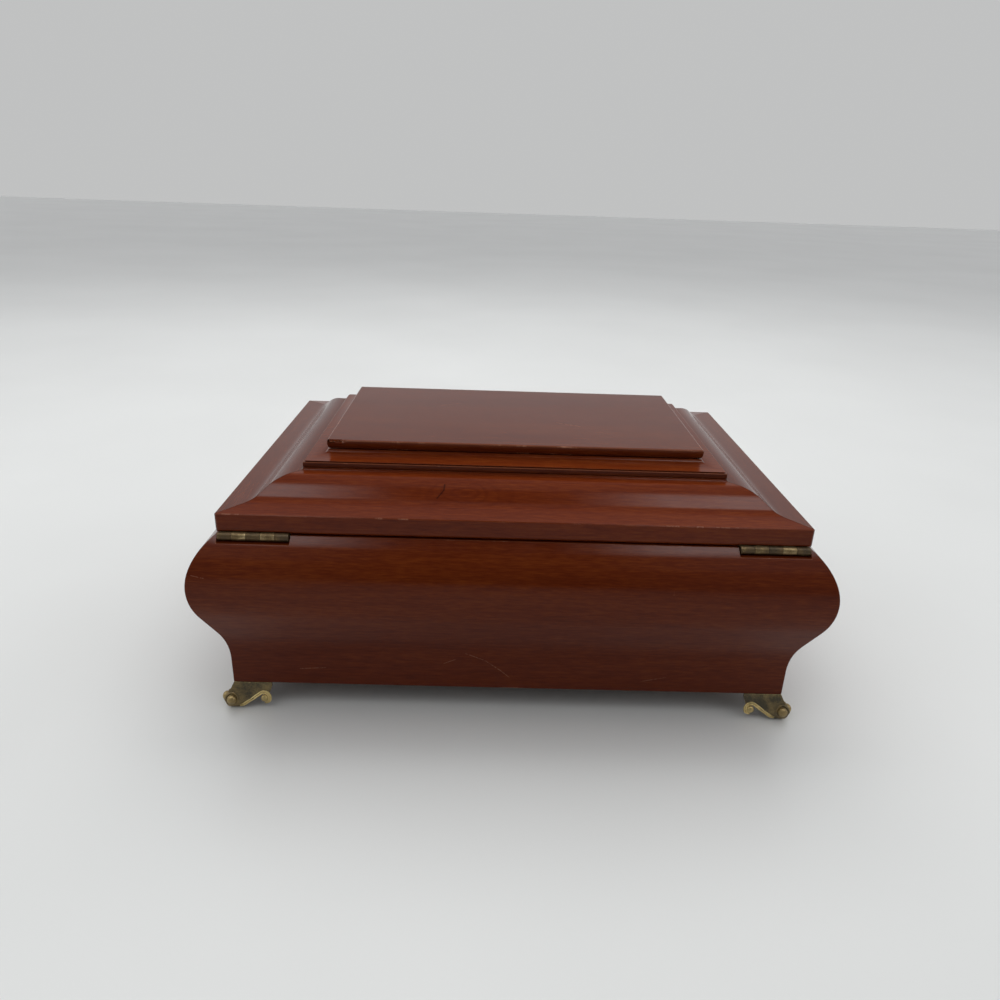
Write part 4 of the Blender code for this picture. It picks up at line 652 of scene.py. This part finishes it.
def mesh_from(shape, name):
    """Turns a bmesh into a mesh."""
    mesh = bpy.data.meshes.new(name)
    shape.to_mesh(mesh)
    shape.free()
    return mesh


def finish_piece(node, shape, material):
    """Makes the piece that stands for a node from its bmesh, with its finish and body, and hides the node."""
    name = f"{node}_fine"
    mesh = mesh_from(shape, name)
    mesh.materials.append(material)
    piece = bpy.data.objects.new(name, mesh)
    bpy.context.scene.collection.objects.link(piece)
    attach(piece, BODY_OF[node])
    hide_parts(node)
    return piece


def merged_copy(node):
    """The node's solid as whole flat faces."""
    shape = bmesh.new()
    shape.from_mesh(NODES[node].data)
    bmesh.ops.remove_doubles(shape, verts=shape.verts, dist=MERGE)
    bmesh.ops.dissolve_limit(shape, angle_limit=FLAT, verts=shape.verts, edges=shape.edges)
    return shape


def edge_layer(shape):
    return shape.loops.layers.float.get("edge") or shape.loops.layers.float.new("edge")


def mark(shape, faces, value):
    layer = edge_layer(shape)
    for face in faces:
        for corner in face.loops:
            corner[layer] = value


def bevelled(shape, edges, width, segments):
    """Rounds the edges, and gives back the faces of the rounding."""
    return bmesh.ops.bevel(shape, geom=edges, offset=width, offset_type="OFFSET", segments=segments,
                           profile=0.5, affect="EDGES", material=-1, clamp_overlap=True)["faces"]


def cut_mesh(shape, place, normal, clear=False):
    """Cuts the mesh along a plane, and with clear takes away what lies beyond it."""
    geometry = shape.verts[:] + shape.edges[:] + shape.faces[:]
    return bmesh.ops.bisect_plane(shape, geom=geometry, plane_co=place, plane_no=normal,
                                  clear_outer=clear)["geom_cut"]


def slice_mesh(shape, normal, places):
    for place in places:
        cut_mesh(shape, Vector(normal) * place, normal)


def soften(shape, width, segments=2, angle=EDGE_ANGLE, proud=1.0):
    """Rounds the sharp edges, marks the rounding as edge, and shades curved faces smooth."""
    sharp = [edge for edge in shape.edges if edge.is_manifold and edge.calc_face_angle(0.0) > angle]
    rounded = set()
    if width > 0:
        rounded = set(bevelled(shape, sharp, width, segments))
        mark(shape, rounded, proud)
    for face in shape.faces:
        face.smooth = True
    for edge in shape.edges:
        faces = edge.link_faces
        if len(faces) != 2 or ((faces[0] in rounded) != (faces[1] in rounded)):
            edge.smooth = False
        elif faces[0] not in rounded and edge.calc_face_angle(0.0) > angle:
            edge.smooth = False
    return shape


def frame_corner():
    """Half the length and half the depth of the lid's frame, which the case's plinth shares."""
    return abs(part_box("lid_moulding_left")[0].x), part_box("lid_moulding_rear")[1].y


def blunt_corners(shape):
    """Takes the points off the frame's four outer corners."""
    length, depth = frame_corner()
    for x, y in ((1, 1), (1, -1), (-1, 1), (-1, -1)):
        outward = Vector((x, y, 0)).normalized()
        corner = Vector((x * length, y * depth, 0))
        cut = cut_mesh(shape, corner - outward * CORNER_BLUNT, outward, True)
        rim = [item for item in cut if isinstance(item, bmesh.types.BMEdge)]
        if rim:
            bmesh.ops.holes_fill(shape, edges=rim, sides=0)


def ease_hollow(shape):
    """Rounds the hollow corner between the frame's flat margin and its slope."""
    low, high = HOLLOW_ANGLES
    corner = [edge for edge in shape.edges if low < edge.calc_face_angle(0.0) < high]
    bevelled(shape, corner, HOLLOW_WIDTH, HOLLOW_SEGMENTS)


def softened(nodes, width, material, segments=2, proud=1.0):
    """Merged copies of the nodes' solids with their edges rounded, which stand for the nodes."""
    for node in nodes:
        shape = merged_copy(node)
        if node.startswith("lid_moulding"):
            blunt_corners(shape)
            ease_hollow(shape)
        soften(shape, width, segments, proud=proud)
        finish_piece(node, shape, material)


def applied(item):
    """The item's mesh as its modifiers leave it now."""
    graph = bpy.context.evaluated_depsgraph_get()
    return bpy.data.meshes.new_from_object(item.evaluated_get(graph))


def stuffed(node, material):
    """The node's cushion with its cover blown tight by a cloth simulation, held where it is glued down."""
    scene = bpy.context.scene
    low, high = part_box(node)
    shape = merged_copy(node)
    middle = (low + high) / 2
    for point in shape.verts:
        for axis in range(3):
            away = point.co[axis] - middle[axis]
            point.co[axis] -= math.copysign(min(STUFF_SHRINK, abs(away)), away)
    cover = bpy.data.objects.new("cover", mesh_from(shape, "cover"))
    scene.collection.objects.link(cover)
    remesh = cover.modifiers.new("remesh", "REMESH")
    remesh.mode = "VOXEL"
    remesh.voxel_size = STUFF_CELL
    even = applied(cover)
    start = [point.co.copy() for point in even.vertices]
    held = cover.vertex_groups.new(name="held")
    cover.modifiers.clear()
    cover.data = even
    held.add([i for i, place in enumerate(start) if place.z < low.z + 2 * STUFF_CELL], 1.0, "REPLACE")
    cloth = cover.modifiers.new("cloth", "CLOTH")
    cloth.settings.quality = STUFF_QUALITY
    cloth.settings.mass = STUFF_MASS
    cloth.settings.use_pressure = True
    cloth.settings.uniform_pressure_force = STUFF_PRESSURE
    cloth.settings.vertex_group_mass = "held"
    cloth.settings.effector_weights.gravity = 0.0
    cloth.point_cache.frame_start = 1
    cloth.point_cache.frame_end = STUFF_FRAMES
    for number in range(1, STUFF_FRAMES + 1):
        scene.frame_set(number)
    blown = applied(cover)
    for point, place in zip(blown.vertices, start):
        move = point.co - place
        if move.length > STUFF_CAP:
            move = move.normalized() * STUFF_CAP
        target = place + move
        point.co = [min(max(target[axis], low[axis]), high[axis] + (STUFF_SWELL if axis == 2 else 0))
                    for axis in range(3)]
    scene.frame_set(1)
    bpy.data.objects.remove(cover)
    shape = bmesh.new()
    shape.from_mesh(blown)
    edge_layer(shape)
    for face in shape.faces:
        face.smooth = True
    piece = finish_piece(node, shape, material)
    finer = piece.modifiers.new("finer", "SUBSURF")
    finer.levels = 1
    finer.render_levels = 1


def broken_corner(shape, corner):
    """Splinters the top edge of a board towards one of its corners."""
    picker = random.Random(BREAK_SEED)
    slice_mesh(shape, (1, 0, 0), [corner.x - BREAK_REACH * i / BREAK_SLICES for i in range(1, BREAK_SLICES)])
    slice_mesh(shape, (0, 1, 0), [corner.y - width for width in BREAK_WIDTHS])
    slice_mesh(shape, (0, 0, 1), [corner.z - height for height in BREAK_HEIGHTS])
    for point in shape.verts:
        away = corner - point.co
        depth = BREAK_DEPTH * max(0.0, 1 - away.x / BREAK_REACH)
        if away.x < BREAK_REACH and away.y < BREAK_LIMITS[0] and away.z < BREAK_LIMITS[1]:
            point.co.y -= depth * picker.uniform(0.1, 1.0)
            point.co.z -= depth * picker.uniform(0.2, 1.0)
            point.co.x -= depth * picker.uniform(0.0, 0.5)
            for face in point.link_faces:
                face.smooth = False


def slab_mesh():
    shape = soften(merged_copy("lid_slab"), WOOD_WIDTH)
    broken_corner(shape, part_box("lid_slab")[1])
    return shape


def cove_mesh():
    """A hollow moulding that sweeps out from under the slab to the thin board's edge."""
    slab_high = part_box("lid_slab")[1]
    low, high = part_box("lid_cove")
    shape = bmesh.new()
    rings = []
    for i in range(-1, COVE_STEPS + 2):
        turn = math.pi / 2 * min(max(i, 0), COVE_STEPS) / COVE_STEPS
        out = -COVE_INSET + (COVE_REACH + COVE_INSET) * (1 - math.cos(turn))
        level = low.z + COVE_FOOT + (high.z - low.z - COVE_FOOT) * (1 - math.sin(turn))
        if i == COVE_STEPS + 1:
            level = low.z
        if i == -1:
            out = -COVE_TOP_INSET
        across, along = slab_high.x + out, slab_high.y + out
        corners = ((1, 1), (-1, 1), (-1, -1), (1, -1))
        rings.append([shape.verts.new((x * across, y * along, level)) for x, y in corners])
    for first, second in zip(rings, rings[1:]):
        for j in range(4):
            k = (j + 1) % 4
            shape.faces.new((first[j], first[k], second[k], second[j]))
    shape.faces.new(rings[0])
    shape.faces.new(list(reversed(rings[-1])))
    bmesh.ops.recalc_face_normals(shape, faces=shape.faces)
    return soften(shape, 0.0)


# Foot

def arc(centre, radius, start, end, steps):
    return [(centre[0] + radius * math.cos(start + (end - start) * i / steps),
             centre[1] + radius * math.sin(start + (end - start) * i / steps)) for i in range(steps + 1)]


def foot_flare(run, height):
    """How far the foot's face stands out from the case's wall at a point of the face."""
    centre = VOLUTE[1]
    if height >= centre:
        out = FLARE * max(0.0, (FOOT_HEIGHT - height) / (FOOT_HEIGHT - centre)) ** FLARE_GROWTH
    else:
        share = min(1.0, (centre - height) / centre)
        out = FLARE * (1 - FLARE_TUCK * (1 - math.sqrt(1 - share * share)))
    return out * (1 - FLARE_FADE * min(1.0, max(0.0, run / SCROLL[0])))


def on_face(run, height, proud=0.0):
    return Vector((run, -foot_flare(run, height) - proud, height))


def crossing_angle(first, first_radius, second, second_radius):
    """The direction from the first circle's centre to the tangent that crosses over to the second circle."""
    across = Vector(second) - Vector(first)
    return math.atan2(across.y, across.x) - math.acos((first_radius + second_radius) / across.length)


def foot_lines():
    """The face's lower edge up to its scroll, and the scroll's turn after it."""
    normal = crossing_angle(SWEEP, SWEEP_RADIUS, SCROLL, SCROLL_RADIUS)
    sweep = arc(SWEEP, SWEEP_RADIUS, SWEEP_START, normal, SWEEP_STEPS)
    turn = []
    for i in range(SCROLL_STEPS + 1):
        share = i / SCROLL_STEPS
        angle = normal + math.pi - SCROLL_TURN * share
        radius = SCROLL_RADIUS - SCROLL_SHRINK * share
        turn.append((SCROLL[0] + radius * math.cos(angle), SCROLL[1] + radius * math.sin(angle)))
    return sweep, turn


def offset_line(points, distance):
    moved = []
    for i, point in enumerate(points):
        before, after = Vector(points[max(0, i - 1)]), Vector(points[min(len(points) - 1, i + 1)])
        run = (after - before).normalized()
        moved.append((point[0] - run.y * distance, point[1] + run.x * distance))
    return moved


def foot_plate():
    """The face's bent plate with its thickness."""
    sweep, turn = foot_lines()
    shape = bmesh.new()
    lower = [point for point in sweep if point[1] > PLATE_SWEEP_FROM]
    outline = [*PLATE_START, *lower, *turn[:PLATE_SCROLL_POINTS], *PLATE_END]
    shape.faces.new([shape.verts.new((x, 0.0, z)) for x, z in outline])
    slice_mesh(shape, (0, 0, 1), PLATE_LEVELS)
    slice_mesh(shape, (1, 0, 0), PLATE_RUNS)
    made = bmesh.ops.extrude_face_region(shape, geom=shape.faces[:])
    inner = [item for item in made["geom"] if isinstance(item, bmesh.types.BMVert)]
    for point in shape.verts:
        point.co.y = -foot_flare(point.co.x, point.co.z)
    for point in inner:
        point.co.y += FOOT_METAL
    bmesh.ops.recalc_face_normals(shape, faces=shape.faces)
    mark(shape, shape.faces, PLATE_PROUD)
    return soften(shape, CAST_WIDTH, angle=CAST_EDGE_ANGLE)


def sweep_round(shape, points, radii, proud):
    """A round rib through points on the face, with a radius at each point and closed ends."""
    layer = edge_layer(shape)
    previous = None
    out = Vector((0, -1, 0))
    for i, (point, radius) in enumerate(zip(points, radii)):
        before, after = points[max(0, i - 1)], points[min(len(points) - 1, i + 1)]
        run = (after - before).normalized()
        side = run.cross(out).normalized()
        up = side.cross(run)
        ring = []
        for j in range(RIB_SIDES):
            angle = 2 * math.pi * j / RIB_SIDES
            ring.append(shape.verts.new(point + radius * (math.cos(angle) * side + math.sin(angle) * up)))
        if previous:
            for j in range(RIB_SIDES):
                k = (j + 1) % RIB_SIDES
                face = shape.faces.new((previous[j], previous[k], ring[k], ring[j]))
                face.smooth = True
                for corner in face.loops:
                    corner[layer] = proud
        else:
            shape.faces.new(ring)
        previous = ring
    shape.faces.new(list(reversed(previous)))


def ball(shape, centre, radius, rise, proud):
    """A domed boss on the face."""
    before = set(shape.faces)
    turn = Matrix.Rotation(math.radians(90), 4, "X")
    place = Matrix.Translation(centre) @ turn @ Matrix.Diagonal((1, 1, rise, 1))
    around, upward = BALL_SEGMENTS
    bmesh.ops.create_uvsphere(shape, u_segments=around, v_segments=upward, radius=radius, matrix=place)
    made = [face for face in shape.faces if face not in before]
    for face in made:
        face.smooth = True
    mark(shape, made, proud)


def foot_ornaments():
    """The double rib along the lower edge with its scroll, the two balls and the volute's ring."""
    shape = bmesh.new()
    edge_layer(shape)
    sweep, turn = foot_lines()
    line = sweep + turn
    count = len(line)
    for number, (distance, size) in enumerate(((0.0, 1.0), (RIB_SPACING, SECOND_RIB))):
        path = offset_line(line, distance)[2 + number:]
        points = [on_face(x, max(z, RIB_LOWEST), RIB_RISE) for x, z in path]
        swell = [min(1.0, 0.3 + 3.0 * i / count, 0.45 + 2.2 * (1 - i / count)) for i in range(len(points))]
        radii = [RIB_RADIUS * size * share for share in swell]
        sweep_round(shape, points, radii, RIB_PROUD)
    ball(shape, on_face(*SCROLL, -SCROLL_SINK), SCROLL_BALL, SCROLL_RISE, SCROLL_PROUD)
    ball(shape, on_face(*VOLUTE), VOLUTE_BALL, VOLUTE_RISE, VOLUTE_PROUD)
    ring = arc(VOLUTE, VOLUTE_RADIUS - RIB_RADIUS, *RING_ANGLES, RING_STEPS)
    points = [on_face(x, z, RIB_RISE) for x, z in ring]
    radii = [RIB_RADIUS * (0.6 + 0.4 * math.sin(math.pi * i / RING_STEPS)) for i in range(RING_STEPS + 1)]
    sweep_round(shape, points, radii, RING_PROUD)
    bmesh.ops.recalc_face_normals(shape, faces=shape.faces)
    return shape


def foot_mesh():
    """A whole corner foot at the origin: its two faces, which meet on the corner's diagonal."""
    swapped = Matrix(((0, 1, 0, 0), (1, 0, 0, 0), (0, 0, 1, 0), (0, 0, 0, 1)))
    whole = bmesh.new()
    edge_layer(whole)
    for part in (foot_plate(), foot_ornaments()):
        cut_mesh(part, (0, 0, 0), (-1, 1, 0), True)
        mesh = mesh_from(part, "foot_part")
        whole.from_mesh(mesh)
        other = bmesh.new()
        other.from_mesh(mesh)
        bmesh.ops.transform(other, matrix=swapped, verts=other.verts)
        bmesh.ops.reverse_faces(other, faces=other.faces)
        whole.from_mesh(mesh_from(other, "foot_side"))
    return mesh_from(whole, "foot_source")


def place_feet(material):
    mesh = foot_mesh()
    length, depth = frame_corner()
    corners = {"front_left": (-1, -1, 0), "front_right": (1, -1, 1), "rear_right": (1, 1, 2), "rear_left": (-1, 1, 3)}
    for corner, (across, along, turns) in corners.items():
        shape = bmesh.new()
        shape.from_mesh(mesh)
        place = Matrix.Translation((across * length, along * depth, 0))
        turn = Matrix.Rotation(turns * math.pi / 2, 4, "Z")
        bmesh.ops.transform(shape, matrix=place @ turn, verts=shape.verts)
        finish_piece(f"foot_{corner}", shape, material)


# Camera, light and floor

def place_camera():
    yaw, pitch, roll = (math.radians(a) for a in (CAMERA_YAW, CAMERA_PITCH, CAMERA_ROLL))
    forward = Vector((-math.sin(yaw) * math.cos(pitch), -math.cos(yaw) * math.cos(pitch), -math.sin(pitch)))
    level = Vector((-math.cos(yaw), math.sin(yaw), 0))
    above = level.cross(forward)
    right = math.cos(roll) * level + math.sin(roll) * above
    up = math.cos(roll) * above - math.sin(roll) * level
    data = bpy.data.cameras.new("camera")
    data.lens = CAMERA_LENS
    data.sensor_width = 36.0
    camera = bpy.data.objects.new("camera", data)
    turn = Matrix((right, up, -forward)).transposed()
    camera.matrix_world = Matrix.Translation(CAMERA_PLACE) @ turn.to_4x4()
    bpy.context.scene.collection.objects.link(camera)
    bpy.context.scene.camera = camera


def soft_lamp(name, place, target, size, power):
    data = bpy.data.lights.new(name, "AREA")
    data.shape = "RECTANGLE"
    data.size, data.size_y = size
    data.energy = power
    lamp = bpy.data.objects.new(name, data)
    lamp.location = place
    aim = Vector(target) - Vector(place)
    lamp.rotation_euler = aim.to_track_quat("-Z", "Y").to_euler()
    lamp.visible_glossy = False
    bpy.context.scene.collection.objects.link(lamp)


def make_room():
    """A plain pale room, with a window at each end, and dark behind the camera where the photographer stands."""
    world = bpy.data.worlds.new("room")
    world.use_nodes = True
    tree = world.node_tree
    background = tree.nodes["Background"]
    direction = add_node(tree, "ShaderNodeTexCoord").outputs["Generated"]
    parts = add_node(tree, "ShaderNodeSeparateXYZ")
    link(tree, direction, parts.inputs["Vector"])
    aside = maths(tree, "ABSOLUTE", parts.outputs["X"])
    height = parts.outputs["Z"]
    toward = between(tree, parts.outputs["Y"], *TOWARD_REAR)
    person = maths(tree, "MULTIPLY", between(tree, aside, *PERSON_SIDE), toward)
    sides = between(tree, parts.outputs["Y"], *FRONT_TO_REAR)
    level = mixed(tree, sides, LOW_FRONT, LOW_REAR)
    upper = mixed(tree, sides, HIGH_FRONT, HIGH_REAR)
    level = mixed(tree, between(tree, height, *LOW_TO_HIGH), level, upper)
    level = mixed(tree, person, level, PERSON)
    window = maths(tree, "MULTIPLY", between(tree, aside, *WINDOW_SIDE), between(tree, height, *WINDOW_SILL))
    window = maths(tree, "MULTIPLY", window, between(tree, height, *WINDOW_HEAD))
    level = mixed(tree, window, level, WINDOW)
    ray = add_node(tree, "ShaderNodeLightPath").outputs
    glow = maths(tree, "MULTIPLY", between(tree, aside, *GLOW_INNER), between(tree, aside, *GLOW_OUTER))
    glow = maths(tree, "MULTIPLY", glow, maths(tree, "MULTIPLY", between(tree, height, *GLOW_SILL), toward))
    level = mixed(tree, maths(tree, "MULTIPLY", glow, ray["Is Glossy Ray"]), level, GLOW)
    seen = mixed(tree, ray["Is Camera Ray"], level, BACKDROP)
    link(tree, seen, background.inputs["Color"])
    background.inputs["Strength"].default_value = 1.0
    bpy.context.scene.world = world


def make_floor():
    shape = bmesh.new()
    bmesh.ops.create_grid(shape, x_segments=1, y_segments=1, size=FLOOR_SIZE)
    mesh = mesh_from(shape, "floor")
    floor = bpy.data.objects.new("floor", mesh)
    bpy.context.scene.collection.objects.link(floor)
    material, tree, surface, place = shader_material("pale_floor", 0.30)
    cloud = noise(tree, place, 3.0, 3.0)
    link(tree, ramp(tree, cloud, tuple(zip((0.3, 0.7), PALE_FLOOR))), surface.inputs["Base Color"])
    mesh.materials.append(material)


def set_stage():
    make_room()
    make_floor()
    for lamp in LAMPS:
        soft_lamp(*lamp)
    bpy.context.scene.view_settings.view_transform = "Standard"


# The box

def dress_wood():
    along = lacquer("lacquer_along", False, FRONT_MARKS)
    # The rear, slab, board and ends lacquers are darker copies of one lacquer: painted shade
    rear = lacquer("lacquer_rear_painted_shade", False, CASE_MARKS, tone=REAR_PAINTED_SHADE)
    rim = lacquer("lacquer_rim", False, RIM_MARKS, NICK)
    slab = lacquer("lacquer_slab_painted_shade", False, SLAB_MARKS, tone=SLAB_PAINTED_SHADE)
    board = lacquer("lacquer_board_painted_shade", False, tone=BOARD_PAINTED_SHADE)
    across = lacquer("lacquer_across", True, END_MARKS)
    ends = lacquer("lacquer_ends_painted_shade", True, END_MARKS, tone=END_PAINTED_SHADE)
    softened(("case_front", "lid_moulding_front"), WOOD_WIDTH, along)
    softened(("lid_board",), WOOD_WIDTH, board)
    softened(("case_rear",), WOOD_WIDTH, rear)
    softened(("lid_moulding_rear",), WOOD_WIDTH, rim)
    finish_piece("lid_slab", slab_mesh(), slab)
    finish_piece("lid_cove", cove_mesh(), along)
    softened(("case_left", "case_right"), WOOD_WIDTH, across)
    softened(("lid_moulding_left", "lid_moulding_right"), WOOD_WIDTH, ends)
    inner = bare_wood("inner_wood", False, *INNER_WOOD)
    inner_across = bare_wood("inner_wood_across", True, *INNER_WOOD)
    # The bottom board's darker wood is painted shade under the box
    softened(("bottom_board",), INNER_WIDTH, bare_wood("bottom_wood_shade_dark", False, *BOTTOM_WOOD_SHADE_DARK))
    softened(("tray_front", "tray_rear", "tray_rail_front", "tray_rail_rear"), INNER_WIDTH, inner)
    softened(("movement_partition", "tray_left", "tray_right"), INNER_WIDTH, inner_across)


def dress_velvet():
    cloth = velvet("red_velvet", *RED_VELVET)
    softened(("floor_pad", "lid_lining", "movement_cover", "tray_base", "tray_divider_back",
              "tray_divider_front", "tray_divider_ring"), VELVET_WIDTH, cloth, 3)
    stuffed("ring_cushion", cloth)


def dress_metal():
    foot = aged_metal("cast_brass", *CAST_BRASS)
    place_feet(foot)
    leaf = aged_metal("hinge_brass", *HINGE_BRASS)
    rubbed = aged_metal("hinge_brass_rubbed", *HINGE_RUBBED)
    for node in NODES:
        if node.startswith("foot_screw"):
            softened((node,), SCREW_WIDTH, foot)
        if node.startswith("hinge"):
            brass = rubbed if node.startswith("hinge_lid_leaf") else leaf
            softened((node,), CAST_WIDTH, brass, proud=HINGE_PROUD)
    softened(("governor_pinion", "great_wheel", "lid_stay_arm", "lid_stay_bracket", "lid_stay_rivet",
              "lid_stay_stud", "music_cylinder", "stop_rod", "stop_rod_guide", "winding_key"),
             0.0, turned_metal("bright_brass", *BRIGHT_BRASS))
    softened(("comb", "comb_screw_1", "comb_screw_2", "stop_lever"),
             0.0, turned_metal("ground_steel", *GROUND_STEEL))
    softened(("movement_bedplate", "spring_barrel"), 0.0, turned_metal("plated_zinc", *PLATED_ZINC))
    softened(("governor_fan", "governor_housing"), 0.0, moulded_plastic("moulded_cream", *CREAM_PLASTIC))
    softened(("mirror",), GLASS_WIDTH, silvered_glass("silvered_glass", *MIRROR))


place_camera()
set_stage()
dress_wood()
dress_velvet()
dress_metal()
